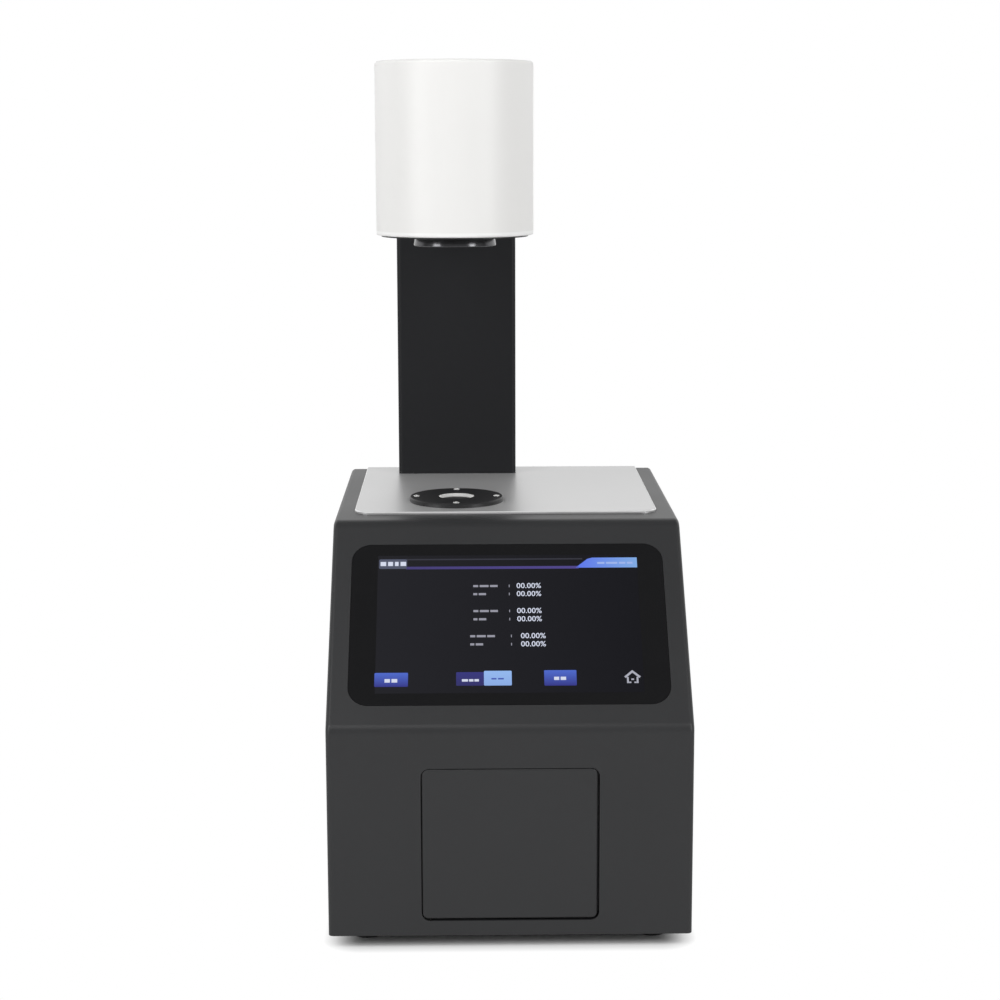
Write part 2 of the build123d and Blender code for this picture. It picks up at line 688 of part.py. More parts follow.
def sphere_stand():
    """Bent bracket that carries the sphere over the trap."""
    half_y = STAND_DEPTH / 2
    y0, y1 = OPTIC_Y - half_y, OPTIC_Y + half_y
    stand = block(OPTIC_X - SPHERE_HALF, OPTIC_X + SPHERE_HALF, y0, y1, Z_STAND_UNDER, Z_SPHERE_BOTTOM)
    for side in (-1, 1):
        outer = OPTIC_X + side * SPHERE_HALF
        low, high = sorted((outer, outer - side * STAND_LEG_T))
        stand += block(low, high, y0, y1, Z_FLOOR, Z_SPHERE_BOTTOM)
        low, high = sorted((outer, outer + side * STAND_FOOT))
        stand += block(low, high, y0, y1, Z_FLOOR, Z_FLOOR + STAND_LEG_T)
        window = STAND_DEPTH / 4
        stand -= block(outer - STAND_FOOT, outer + STAND_FOOT, OPTIC_Y - window, OPTIC_Y + window,
                       Z_FLOOR + STAND_FOOT, Z_MOTOR_TOP - MOTOR_H - 2 * MOTOR_R - STAND_LEG_T)
    return stand - optic_prism(Z_STAND_UNDER - 1, Z_SPHERE_BOTTOM + 1, EXIT_SPIGOT_R + FIT)


def light_trap():
    """Black square pot with an inner cone that swallows the straight beam."""
    pot = optic_block(2 * (TRAP_R + TRAP_WALL), Z_FLOOR, Z_TRAP_TOP)
    pot -= optic_prism(Z_FLOOR + TRAP_WALL, Z_TRAP_TOP + 1, TRAP_R)
    cone = [(TRAP_R - TRAP_CONE_MARGIN, 1), (TRAP_CONE_TIP_R, (Z_TRAP_TOP - Z_FLOOR) / 2)]
    return pot + Pos(OPTIC_X, OPTIC_Y, Z_FLOOR) * faceted(cone, HEAD_SIDES)


def paddle_motor():
    """Small motor beside the trap that turns the paddle."""
    motor = prism(MOTOR_X, OPTIC_Y, Z_MOTOR_TOP - MOTOR_H, Z_MOTOR_TOP, MOTOR_R, HEAD_SIDES)
    return motor + rod_z(MOTOR_X, OPTIC_Y, Z_MOTOR_TOP - 1, Z_PADDLE_TOP, MOTOR_SHAFT_R)


def motor_bracket():
    """Angle on the stand's leg under the motor."""
    leg_x = OPTIC_X + SPHERE_HALF - STAND_LEG_T
    shelf_z = Z_MOTOR_TOP - MOTOR_H
    y0, y1 = OPTIC_Y - MOTOR_R, OPTIC_Y + MOTOR_R
    shelf = block(MOTOR_X - MOTOR_R, leg_x, y0, y1, shelf_z - BRACKET_T, shelf_z)
    return shelf + block(leg_x - BRACKET_T, leg_x, y0, y1, shelf_z - 2 * MOTOR_R, shelf_z)


def reference_paddle():
    """White reference disc on an arm, over the exit port at rest."""
    z0 = Z_PADDLE_TOP - PADDLE_T
    paddle = optic_prism(z0, Z_PADDLE_TOP, PADDLE_R)
    half = PADDLE_ARM_W / 2
    paddle += block(OPTIC_X, MOTOR_X, OPTIC_Y - half, OPTIC_Y + half, z0, Z_PADDLE_TOP)
    paddle += prism(MOTOR_X, OPTIC_Y, z0, Z_PADDLE_TOP, PADDLE_HUB_R, HEAD_SIDES)
    return paddle - rod_z(MOTOR_X, OPTIC_Y, z0 - 1, Z_PADDLE_TOP + 1, MOTOR_SHAFT_R + SHAFT_FIT)


def detector_module():
    """Detector tube with a square flange on the sphere's flat."""
    across, height, thickness = DETECTOR_FLANGE
    module = Pos(0, 0, thickness / 2) * Box(height, across, thickness)
    module += prism(0, 0, 0, DETECTOR_L, DETECTOR_TUBE_R, HEAD_SIDES)
    module -= prism(0, 0, -1, DETECTOR_L - DETECTOR_END_T, DETECTOR_PORT_R, HEAD_SIDES)
    return facing_right() * module


def detector_board():
    """Amplifier board on the end of the detector, with its plug socket."""
    across, height = DETECTOR_BOARD
    board = Pos(0, 0, DETECTOR_L + BOARD_T / 2) * Box(height, across, BOARD_T)
    width, depth, rise = DETECTOR_PLUG
    place = Pos(height / 2 - depth, 0, DETECTOR_L + BOARD_T + rise / 2 - 0.1)
    return facing_right() * (board + place * Box(depth, width, rise))


def display_glass():
    """Black cover glass, flush in the slope."""
    return slope_panel(GLASS_W, GLASS_H, GLASS_CORNER_R, GLASS_UP, 0, GLASS_T)


def lcd_panel():
    """Display panel behind the glass."""
    up = GLASS_UP + (GLASS_H - LCD_H) / 2
    return slope_block(0, LCD_W, LCD_H, up, GLASS_T, LCD_T)


def display_bracket():
    """Sheet bracket behind the display, with spacers for its board."""
    width = LCD_W + 2 * (LCD_GAP + RIM_MARGIN + DISPLAY_SPACER_INSET)
    height = GLASS_H - DISPLAY_BRACKET_MARGIN
    up = DISPLAY_MIDDLE - height / 2
    plate = slope_block(0, width, height, up, RIM_DEPTH, DISPLAY_BRACKET_T)
    depth = RIM_DEPTH + DISPLAY_BRACKET_T + DISPLAY_STANDOFF
    spacer = prism(0, 0, 0, DISPLAY_STANDOFF + 0.5, DISPLAY_SPACER_R, SHANK_SIDES)
    for x, rise in corners(DISPLAY_BOARD_W / 2 - DISPLAY_SPACER_INSET,
                           DISPLAY_BOARD_H / 2 - DISPLAY_SPACER_INSET):
        plate += SLOPE * Pos(x, DISPLAY_MIDDLE + rise, -depth) * spacer
    return plate


def display_board():
    """Display driver board with its chips."""
    depth = RIM_DEPTH + DISPLAY_BRACKET_T + DISPLAY_STANDOFF
    up = DISPLAY_MIDDLE - DISPLAY_BOARD_H / 2
    board = slope_block(0, DISPLAY_BOARD_W, DISPLAY_BOARD_H, up, depth, BOARD_T)
    for x, rise, side in DISPLAY_CHIPS:
        board += slope_block(x, side, side, up + rise, depth + BOARD_T - 0.1, CHIP_T)
    return board


def door():
    """Flush door leaf with a relieved back and its pivot bores."""
    z0, z1 = DOOR_Z - DOOR_H / 2, DOOR_Z + DOOR_H / 2
    leaf = upright_panel(DOOR_W, DOOR_H, DOOR_CORNER_R, 0, DOOR_Z, Y_FRONT, Y_FRONT + DOOR_T)
    width, height, depth = DOOR_RELIEF
    back = Y_FRONT + DOOR_T
    leaf -= block(DOOR_RELIEF_SHIFT - width / 2, DOOR_RELIEF_SHIFT + width / 2, back - depth, back + 1,
                  DOOR_Z - height / 2, DOOR_Z + height / 2)
    for low, high in ((z0 - 1, z0 + HINGE_PIN_IN_DOOR), (z1 - HINGE_PIN_IN_DOOR, z1 + 1)):
        leaf -= rod_z(HINGE_X, HINGE_Y, low, high, HINGE_PIN_R + PRESS_FIT)
    return leaf


def hinge_pins():
    """Steel pivot pins pressed into the door's top and bottom edges."""
    z0, z1 = DOOR_Z - DOOR_H / 2, DOOR_Z + DOOR_H / 2
    reach = DOOR_GAP + HINGE_PIN_IN_CASING - HINGE_END_GAP
    lower = rod_z(HINGE_X, HINGE_Y, z0 - reach, z0 + HINGE_PIN_IN_DOOR, HINGE_PIN_R)
    upper = rod_z(HINGE_X, HINGE_Y, z1 - HINGE_PIN_IN_DOOR, z1 + reach, HINGE_PIN_R)
    return [lower, upper]


def strike_plate():
    """Steel plate on the door's back for the latch."""
    y = Y_FRONT + DOOR_T
    half_w, half_h = STRIKE_W / 2, STRIKE_H / 2
    return block(LATCH_X - half_w, LATCH_X + half_w, y, y + STRIKE_T, DOOR_Z - half_h, DOOR_Z + half_h)


def compartment_bin():
    """Moulded accessory compartment with a flange behind the door opening."""
    z0 = DOOR_Z - DOOR_H / 2 + BIN_MARGIN_Z
    z1 = DOOR_Z + DOOR_H / 2 - BIN_MARGIN_Z
    half_w, half_h = OPENING_W / 2 + RIB_T, OPENING_H / 2 + RIB_T
    tub = block(-half_w, half_w, Y_BIN, Y_BIN + BIN_WALL, DOOR_Z - half_h, DOOR_Z + half_h)
    back = Y_BIN + BIN_DEPTH
    tub += block(BIN_LEFT - BIN_WALL, BIN_RIGHT + BIN_WALL, Y_BIN, back, z0 - BIN_WALL, z1 + BIN_WALL)
    for place in BIN_RIB_PLACES:
        tub += block(BIN_LEFT, BIN_RIGHT, Y_BIN + place, Y_BIN + place + BIN_WALL, Z_FLOOR, z0)
    tub -= block(BIN_LEFT, BIN_RIGHT, Y_BIN - 1, back - BIN_WALL, z0, z1)
    return tub - rod_y(LATCH_X, DOOR_Z, Y_BIN - 1, Y_BIN + BIN_WALL + 1, PLUNGER_R + PLUNGER_HOLE_FIT)


def latch_body():
    """Body of the push latch, beside the compartment."""
    y0 = Y_BIN + BIN_WALL
    body = block(LATCH_X - LATCH_W / 2, LATCH_X + LATCH_W / 2, y0, y0 + LATCH_L,
                 DOOR_Z - LATCH_H / 2, DOOR_Z + LATCH_H / 2)
    return body - rod_y(LATCH_X, DOOR_Z, y0 - 1, y0 + LATCH_L - LATCH_END_T,
                        PLUNGER_R + PLUNGER_FIT)


def latch_plunger():
    """Sprung plunger that pushes the door out."""
    tip = Y_FRONT + DOOR_T + STRIKE_T + PLUNGER_GAP
    return rod_y(LATCH_X, DOOR_Z, tip, tip + PLUNGER_L, PLUNGER_R)


def arm_holes(depth):
    """Holes for the arm's screws, from inside the column to a depth."""
    holes = []
    for x, z in ARM_SCREW_POINTS:
        place = Pos(OPTIC_X + x, COLUMN_FRONT + COLUMN_WALL, Z_ARM_MIDDLE + z) * facing_back()
        holes.append(place * screw_hole(LARGE_SCREW, depth))
    return holes


def column():
    """Hollow black column with rounded corners."""
    section = RectangleRounded(COLUMN_W, COLUMN_D, COLUMN_R)
    section -= Rectangle(COLUMN_W - 2 * COLUMN_WALL, COLUMN_D - 2 * COLUMN_WALL)
    tube = Pos(OPTIC_X, COLUMN_Y, Z_DECK) * extrude(section, COLUMN_H)
    return tube - arm_holes(COLUMN_WALL + 1)


def column_plug(height):
    """Block that fits inside the column."""
    width = COLUMN_W - 2 * COLUMN_WALL - 2 * FIT
    depth = COLUMN_D - 2 * COLUMN_WALL - 2 * FIT
    return extrude(Rectangle(width, depth), height)


def column_foot():
    """Solid foot inside the column's lower end."""
    foot = Pos(OPTIC_X, COLUMN_Y, Z_DECK) * column_plug(COLUMN_FOOT_H)
    return foot - column_holes(Z_DECK, COLUMN_FOOT_H)


def column_cap():
    """Lid on the column's upper end, with a spigot."""
    lid = extrude(RectangleRounded(COLUMN_W, COLUMN_D, COLUMN_R), CAP_T)
    lid += Pos(0, 0, -CAP_SPIGOT) * column_plug(CAP_SPIGOT)
    return Pos(OPTIC_X, COLUMN_Y, Z_COLUMN_TOP) * lid


def backing_plate():
    """Steel plate under the roof that takes the column's screws."""
    plate = block(OPTIC_X - COLUMN_W / 2, OPTIC_X + COLUMN_W / 2, COLUMN_FRONT - BACKING_REACH,
                  Y_PANEL - REAR_PANEL_T - BACKING_GAP, Z_ROOF - BACKING_T, Z_ROOF)
    return plate - column_holes(Z_ROOF - BACKING_T, BACKING_T)


def column_screws():
    """Screws from below through the backing plate and the deck into the foot."""
    length = Z_DECK - Z_ROOF + BACKING_T + COLUMN_FOOT_H - SCREW_SHORT
    one = turned_down() * screw(LARGE_SCREW, length, SHANK_SIDES)
    return [Pos(OPTIC_X + x, COLUMN_Y + y, Z_ROOF - BACKING_T) * one for x, y in COLUMN_SCREW_POINTS]


def head_arm():
    """Arm from the column to the head, under the cover."""
    arm = extrude(RectangleRounded(ARM_W, ARM_H, ARM_EDGE_R), COLUMN_FRONT - ARM_FRONT)
    arm = Pos(OPTIC_X, COLUMN_FRONT, Z_ARM_MIDDLE) * Rot(90, 0, 0) * arm
    return arm - arm_holes(COLUMN_WALL + ARM_SCREW_GRIP)


def arm_screws():
    """Screws from inside the column into the arm."""
    length = COLUMN_WALL + ARM_SCREW_GRIP - SCREW_SHORT
    one = facing_back() * screw(LARGE_SCREW, length, SHANK_SIDES)
    y = COLUMN_FRONT + COLUMN_WALL
    return [Pos(OPTIC_X + x, y, Z_ARM_MIDDLE + z) * one for x, z in ARM_SCREW_POINTS]


def head_base():
    """Black disc that carries the optics and the cover."""
    disc = prism(OPTIC_X, OPTIC_Y, Z_HEAD_BASE, Z_ARM, HEAD_BASE_R, COVER_SIDES)
    return disc - optic_prism(Z_HEAD_BASE - 1, Z_ARM + 1, BARREL_R + SCREW_FIT)


def lens_barrel():
    """Bright nose ring and barrel that hold the lens."""
    bottom = Z_HEAD_BASE - NOSE_H
    nose = [(NOSE_R - NOSE_EDGE, bottom), (NOSE_R, bottom + NOSE_EDGE), (NOSE_R, Z_HEAD_BASE)]
    barrel = Pos(OPTIC_X, OPTIC_Y) * faceted(nose, COVER_SIDES)
    barrel += optic_prism(Z_HEAD_BASE - 1, Z_BARREL_TOP, BARREL_R)
    barrel -= optic_prism(bottom - 1, Z_BARREL_TOP + 1, BARREL_BORE_R - LENS_SEAT_W)
    return barrel - optic_prism(bottom + LENS_SEAT, Z_BARREL_TOP + 1, BARREL_BORE_R)


def collimating_lens():
    """Lens at the mouth of the barrel, domed on its upper side."""
    z0 = Z_HEAD_BASE - NOSE_H + LENS_SEAT
    disc = optic_prism(z0, z0 + LENS_T, BARREL_BORE_R - SCREW_FIT)
    return chamfer(disc.faces().sort_by(Axis.Z)[-1].edges(), LENS_T / 2)


def aperture_plate():
    """Pinhole plate on the barrel, with a pocket for the diode."""
    plate = optic_prism(Z_BARREL_TOP, Z_LED, BARREL_R)
    plate -= prism(OPTIC_X, OPTIC_Y, Z_BARREL_TOP - 1, Z_LED + 1, APERTURE_R, SHANK_SIDES)
    return plate - optic_block(DIODE_W + 2 * FIT, Z_LED - DIODE_T - FIT, Z_LED + 1)


def led_board():
    """Lamp board with its diode facing down."""
    return optic_block(LAMP_BOARD_W, Z_LED, Z_SINK) + optic_block(DIODE_W, Z_LED - DIODE_T, Z_LED + 0.5)


def heat_sink():
    """Finned heat sink over the lamp board."""
    half = SINK_W / 2
    sink = optic_block(SINK_W, Z_SINK, Z_SINK + SINK_BASE_T)
    step = (SINK_W - FIN_T) / (FIN_COUNT - 1)
    for index in range(FIN_COUNT):
        x = OPTIC_X - half + index * step
        sink += block(x, x + FIN_T, OPTIC_Y - half, OPTIC_Y + half,
                      Z_SINK + SINK_BASE_T - 0.5, Z_SINK + SINK_BASE_T + FIN_H)
    return sink


def cover_posts():
    """Two hexagonal posts from the disc to the cover's roof."""
    top = Z_HEAD_TOP - HEAD_TOP_T
    post = prism(0, 0, Z_ARM, top, POST_R, SHANK_SIDES)
    post -= Pos(0, 0, top) * screw_hole(SMALL_SCREW, POST_GRIP)
    return [Pos(x, y, 0) * post for x, y in POST_POINTS]


def head_cover():
    """White cylindrical cover, slotted at the back for the arm."""
    cover = Cylinder(HEAD_R, HEAD_H)
    cover = chamfer(cover.faces().sort_by(Axis.Z)[-1].edges(), HEAD_EDGE)
    cover = Pos(OPTIC_X, OPTIC_Y, (Z_HEAD + Z_HEAD_TOP) / 2) * cover
    cover -= prism(OPTIC_X, OPTIC_Y, Z_HEAD - 1, Z_HEAD_TOP - HEAD_TOP_T, HEAD_R - HEAD_WALL,
                   COVER_SIDES)
    half = ARM_W / 2 + ARM_SLOT_GAP
    cover -= block(OPTIC_X - half, OPTIC_X + half, OPTIC_Y + BARREL_R, OPTIC_Y + HEAD_R + 1,
                   Z_HEAD - 1, Z_ARM + ARM_H + ARM_SLOT_GAP)
    for x, y in POST_POINTS:
        cover -= Pos(x, y, Z_HEAD_TOP) * screw_hole(SMALL_SCREW, HEAD_TOP_T + 1)
        cover -= Pos(x, y, Z_HEAD_TOP) * head_pocket(SMALL_SCREW, SMALL_SCREW[2], 1)
    return cover


def cover_screws():
    """Screws sunk in the cover's roof."""
    one = screw(SMALL_SCREW, HEAD_TOP_T - SMALL_SCREW[2] + POST_GRIP - SCREW_SHORT, HEAD_SIDES)
    return [Pos(x, y, Z_HEAD_TOP - SMALL_SCREW[2]) * one for x, y in POST_POINTS]


def main_board():
    """Main board with its chip and plug socket, in front of the power supply."""
    x0, y0 = X_BOARDS - MAIN_BOARD_W, Y_BOARD_BACK - MAIN_BOARD_L
    z = Z_FLOOR + STANDOFF_H
    board = block(x0, X_BOARDS, y0, Y_BOARD_BACK, z, z + BOARD_T)
    top = z + BOARD_T - CHIP_SUNK
    right, back, side, height = MAIN_CHIP
    board += block(x0 + right, x0 + right + side, y0 + back, y0 + back + side, top, top + height)
    right, back, width, depth = MAIN_PLUG
    return board + block(x0 + right, x0 + right + width, y0 + back, y0 + back + depth,
                         top, z + BOARD_T + PLUG_H)


def board_standoffs():
    """Spacers under the main board."""
    one = prism(0, 0, Z_FLOOR, Z_FLOOR + STANDOFF_H, STANDOFF_R, SHANK_SIDES)
    middle = Pos(X_BOARDS - MAIN_BOARD_W / 2, Y_BOARD_BACK - MAIN_BOARD_L / 2)
    return [middle * Pos(x, y) * one for x, y in corners(MAIN_BOARD_W / 2 - STANDOFF_INSET,
                                                         MAIN_BOARD_L / 2 - STANDOFF_INSET)]


def power_supply():
    """Boxed power supply with its terminal strip."""
    x0, y1 = X_BOARDS - SUPPLY_W, Y_SUPPLY_BACK
    top = Z_FLOOR + SUPPLY_H
    step_y, step_z = y1 - STRIP_STEP, top - STRIP_STEP
    box = block(x0, X_BOARDS, y1 - SUPPLY_L, y1, Z_FLOOR, top)
    box -= block(x0 + STRIP_MARGIN, X_BOARDS - STRIP_MARGIN, step_y, y1 + 1, step_z, top + 1)
    first = x0 + 2 * STRIP_MARGIN
    pitch = (SUPPLY_W - 4 * STRIP_MARGIN - TERMINAL_W) / (TERMINAL_COUNT - 1)
    for index in range(TERMINAL_COUNT):
        x = first + index * pitch
        box += block(x, x + TERMINAL_W, step_y - FIT, y1 - STRIP_MARGIN,
                     step_z - FIT, step_z + TERMINAL_H)
    return box


def rear_panel():
    """Sheet steel back with vents and the connector cut-outs."""
    half_x = X_INNER - FIT
    panel = block(-half_x, half_x, Y_PANEL - REAR_PANEL_T, Y_PANEL, Z_BASE + 0.5, Z_ROOF - FIT)
    cut = (Y_PANEL - REAR_PANEL_T - 1, Y_PANEL + 1)
    for x, width, height in ((INLET_X, INLET_W, INLET_H), (SWITCH_X, SWITCH_W, SWITCH_H),
                             (USB_X, USB_W, USB_H)):
        half_w, half_h = width / 2 + FIT, height / 2 + FIT
        panel -= block(x - half_w, x + half_w, *cut, CONNECTOR_Z - half_h, CONNECTOR_Z + half_h)
    for row in range(VENT_ROWS):
        z = Z_ROOF - VENT_DROP - VENT_PITCH * row
        for side in (-1, 1):
            x = side * VENT_X
            panel -= block(x - VENT_W / 2, x + VENT_W / 2, *cut, z, z + VENT_H)
    for x, z in PANEL_BOSS_POINTS:
        panel -= Pos(x, Y_PANEL, z) * facing_back() * screw_hole(MEDIUM_SCREW, REAR_PANEL_T + 1)
    return panel


def rear_panel_screws():
    """Four screws that hold the rear panel."""
    length = REAR_PANEL_T + BOSS_GRIP - SCREW_SHORT
    one = facing_back() * screw(MEDIUM_SCREW, length, HEAD_SIDES)
    return [Pos(x, Y_PANEL, z) * one for x, z in PANEL_BOSS_POINTS]


def power_inlet():
    """Three-pin mains inlet with its socket and blades."""
    half_w, half_h = INLET_W / 2, INLET_H / 2
    face = Y_PANEL + INLET_FLANGE_T
    body = block(INLET_X - half_w, INLET_X + half_w, face - INLET_DEPTH, face,
                 CONNECTOR_Z - half_h, CONNECTOR_Z + half_h)
    body += block(INLET_X - half_w - INLET_FLANGE, INLET_X + half_w + INLET_FLANGE, Y_PANEL, face,
                  CONNECTOR_Z - half_h - INLET_FLANGE, CONNECTOR_Z + half_h + INLET_FLANGE)
    socket = Box(SOCKET_W, SOCKET_DEPTH + 1, SOCKET_H)
    socket = chamfer(socket.edges().filter_by(Axis.Y).group_by(Axis.Z)[-1], SOCKET_CHAMFER)
    body -= Pos(INLET_X, face - SOCKET_DEPTH / 2 + 0.5, CONNECTOR_Z) * socket
    for right, rise in INLET_BLADES:
        x, z = INLET_X + right, CONNECTOR_Z + rise
        body += block(x - BLADE_W / 2, x + BLADE_W / 2, face - SOCKET_DEPTH - 0.5, face - BLADE_SHORT,
                      z - BLADE_H / 2, z + BLADE_H / 2)
    return body


def switch_frame():
    """Frame of the power switch, clipped into the rear panel."""
    half_w, half_h = SWITCH_W / 2, SWITCH_H / 2
    face = Y_PANEL + INLET_FLANGE_T
    frame = block(SWITCH_X - half_w, SWITCH_X + half_w, face - SWITCH_DEPTH, face,
                  CONNECTOR_Z - half_h, CONNECTOR_Z + half_h)
    wide, high = half_w + SWITCH_LIP, half_h + SWITCH_LIP
    frame += block(SWITCH_X - wide, SWITCH_X + wide, Y_PANEL, face, CONNECTOR_Z - high, CONNECTOR_Z + high)
    wide, high = ROCKER_W / 2 + FIT, half_h - SWITCH_LIP
    frame -= block(SWITCH_X - wide, SWITCH_X + wide, face - 2 * ROCKER_PIVOT_DEPTH, face + 1,
                   CONNECTOR_Z - high, CONNECTOR_Z + high)
    pin = ROCKER_W / 2 + ROCKER_PIN_REACH + FIT
    return frame - rod_x(face - ROCKER_PIVOT_DEPTH, CONNECTOR_Z, SWITCH_X - pin, SWITCH_X + pin,
                         ROCKER_PIN_R + SHAFT_FIT)


def power_rocker():
    """Rocker of the power switch, tilted to off, on its two stub pins."""
    section = Plane.YZ * make_face(Polyline(*ROCKER_SECTION, close=True))
    body = extrude(section, ROCKER_W / 2, both=True)
    pin = ROCKER_W / 2 + ROCKER_PIN_REACH
    body += rod_x(0, 0, -pin, pin, ROCKER_PIN_R)
    pivot = Pos(SWITCH_X, Y_PANEL + INLET_FLANGE_T - ROCKER_PIVOT_DEPTH, CONNECTOR_Z)
    return pivot * Rot(-ROCKER_TILT, 0, 0) * body


def usb_port():
    """Data socket with its tongue."""
    half_w, half_h = USB_W / 2, USB_H / 2
    face = Y_PANEL + USB_PROUD
    shell = block(USB_X - half_w, USB_X + half_w, face - USB_DEPTH, face,
                  CONNECTOR_Z - half_h, CONNECTOR_Z + half_h)
    width, height, depth = USB_OPENING
    shell -= block(USB_X - width / 2, USB_X + width / 2, face - depth, face + 1,
                   CONNECTOR_Z - height / 2, CONNECTOR_Z + height / 2)
    width, height = USB_TONGUE
    return shell + block(USB_X - width / 2, USB_X + width / 2, face - depth - 0.5, face - USB_TONGUE_SHORT,
                         CONNECTOR_Z - height / 2, CONNECTOR_Z + height / 2)


NODES = (
    base_plate, feet, foot_screws, casing, rear_panel, rear_panel_screws,
    deck_plate, port_flange, port_screws, port_ring,
    sphere_upper, sphere_lower, sphere_clamp_screws, sphere_stand, light_trap,
    paddle_motor, motor_bracket, reference_paddle, detector_module, detector_board,
    display_glass, lcd_panel, display_bracket, display_board,
    door, hinge_pins, strike_plate, compartment_bin, latch_body, latch_plunger,
    column, column_foot, column_cap, backing_plate, column_screws,
    head_arm, arm_screws, head_base, lens_barrel, collimating_lens,
    aperture_plate, led_board, heat_sink, cover_posts, head_cover, cover_screws,
    main_board, board_standoffs, power_supply, power_inlet, switch_frame, power_rocker, usb_port,
)


def main():
    """Writes one STEP file for each sub-part."""
    os.makedirs("parts", exist_ok=True)
    for make in NODES:
        shape = make()
        if isinstance(shape, list):
            shape = Compound(children=shape)
        export_step(shape, f"parts/{make.__name__}.step")
        print(make.__name__, round(shape.volume))


main()
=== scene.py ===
"""Bench haze meter: finishes, dressed pieces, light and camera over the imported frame."""
import logging
import math
from dataclasses import dataclass, field
from enum import Enum
from typing import Any, Iterable, Sequence

import bmesh
import bpy
from mathutils import Matrix, Vector


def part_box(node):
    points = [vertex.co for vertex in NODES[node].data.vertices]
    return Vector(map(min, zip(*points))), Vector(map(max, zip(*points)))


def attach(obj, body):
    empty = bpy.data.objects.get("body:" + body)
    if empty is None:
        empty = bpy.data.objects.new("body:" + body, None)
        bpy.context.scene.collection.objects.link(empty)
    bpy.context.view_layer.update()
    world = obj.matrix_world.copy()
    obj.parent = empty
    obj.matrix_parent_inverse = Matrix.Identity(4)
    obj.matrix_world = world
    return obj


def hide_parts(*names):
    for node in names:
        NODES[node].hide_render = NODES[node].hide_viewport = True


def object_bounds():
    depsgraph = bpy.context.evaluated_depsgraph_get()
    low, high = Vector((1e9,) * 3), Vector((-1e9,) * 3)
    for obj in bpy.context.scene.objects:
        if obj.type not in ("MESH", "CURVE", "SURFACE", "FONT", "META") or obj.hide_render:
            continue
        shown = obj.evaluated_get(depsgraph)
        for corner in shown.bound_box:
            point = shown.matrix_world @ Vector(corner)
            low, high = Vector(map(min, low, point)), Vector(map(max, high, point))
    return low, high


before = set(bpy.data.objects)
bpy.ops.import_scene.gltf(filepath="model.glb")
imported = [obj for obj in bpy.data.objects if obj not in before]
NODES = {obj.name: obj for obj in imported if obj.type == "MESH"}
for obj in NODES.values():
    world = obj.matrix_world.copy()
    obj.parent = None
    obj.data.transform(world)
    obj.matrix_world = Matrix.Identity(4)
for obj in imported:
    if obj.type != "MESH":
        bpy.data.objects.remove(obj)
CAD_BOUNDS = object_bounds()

MM = 0.001
# Where the Mix node has its two colours and the mixed colour.
MIX_COLOURS = (6, 7)
MIX_RESULT = 2
LOG = logging.getLogger("haze_meter")
Colour = tuple[float, float, float]
Point = tuple[float, float]
Rect = tuple[float, float, float, float]


class Socket:
    """One shader output that can stand in a Python expression."""

    def __init__(self, shader: "Shader", output: bpy.types.NodeSocket) -> None:
        """Keeps the node tree and the output that belongs to it."""
        self.shader = shader
        self.output = output

    def _maths(self, operation: str, *values: Any) -> "Socket":
        """Adds a Math node on numbers or sockets and gives its output."""
        return self.shader.node("ShaderNodeMath", {"operation": operation}, dict(enumerate(values)))

    def __add__(self, other: Any) -> "Socket":
        """Adds a number or a socket."""
        return self._maths("ADD", self, other)

    __radd__ = __add__

    def __sub__(self, other: Any) -> "Socket":
        """Takes a number or a socket away."""
        return self._maths("SUBTRACT", self, other)

    def __rsub__(self, other: Any) -> "Socket":
        """Takes this socket away from a number."""
        return self._maths("SUBTRACT", other, self)

    def __mul__(self, other: Any) -> "Socket":
        """Multiplies by a number or a socket."""
        return self._maths("MULTIPLY", self, other)

    __rmul__ = __mul__

    def __truediv__(self, other: Any) -> "Socket":
        """Divides by a number or a socket."""
        return self._maths("DIVIDE", self, other)

    def __rtruediv__(self, other: Any) -> "Socket":
        """Divides a number by this socket."""
        return self._maths("DIVIDE", other, self)

    def __gt__(self, other: Any) -> "Socket":
        """1 where this socket is greater, otherwise 0."""
        return self._maths("GREATER_THAN", self, other)

    def clamped(self) -> "Socket":
        """Limits the value to 0 and 1."""
        return self._maths("MINIMUM", self._maths("MAXIMUM", self, 0.0), 1.0)

    def ramp(self, start: float, end: float) -> "Socket":
        """0 up to the start, 1 from the end on, and even between them."""
        return ((self - start) / (end - start)).clamped()

    def magnitude(self) -> "Socket":
        """The value without its sign."""
        return self._maths("ABSOLUTE", self)

    def larger(self, other: Any) -> "Socket":
        """The larger of this value and another."""
        return self._maths("MAXIMUM", self, other)


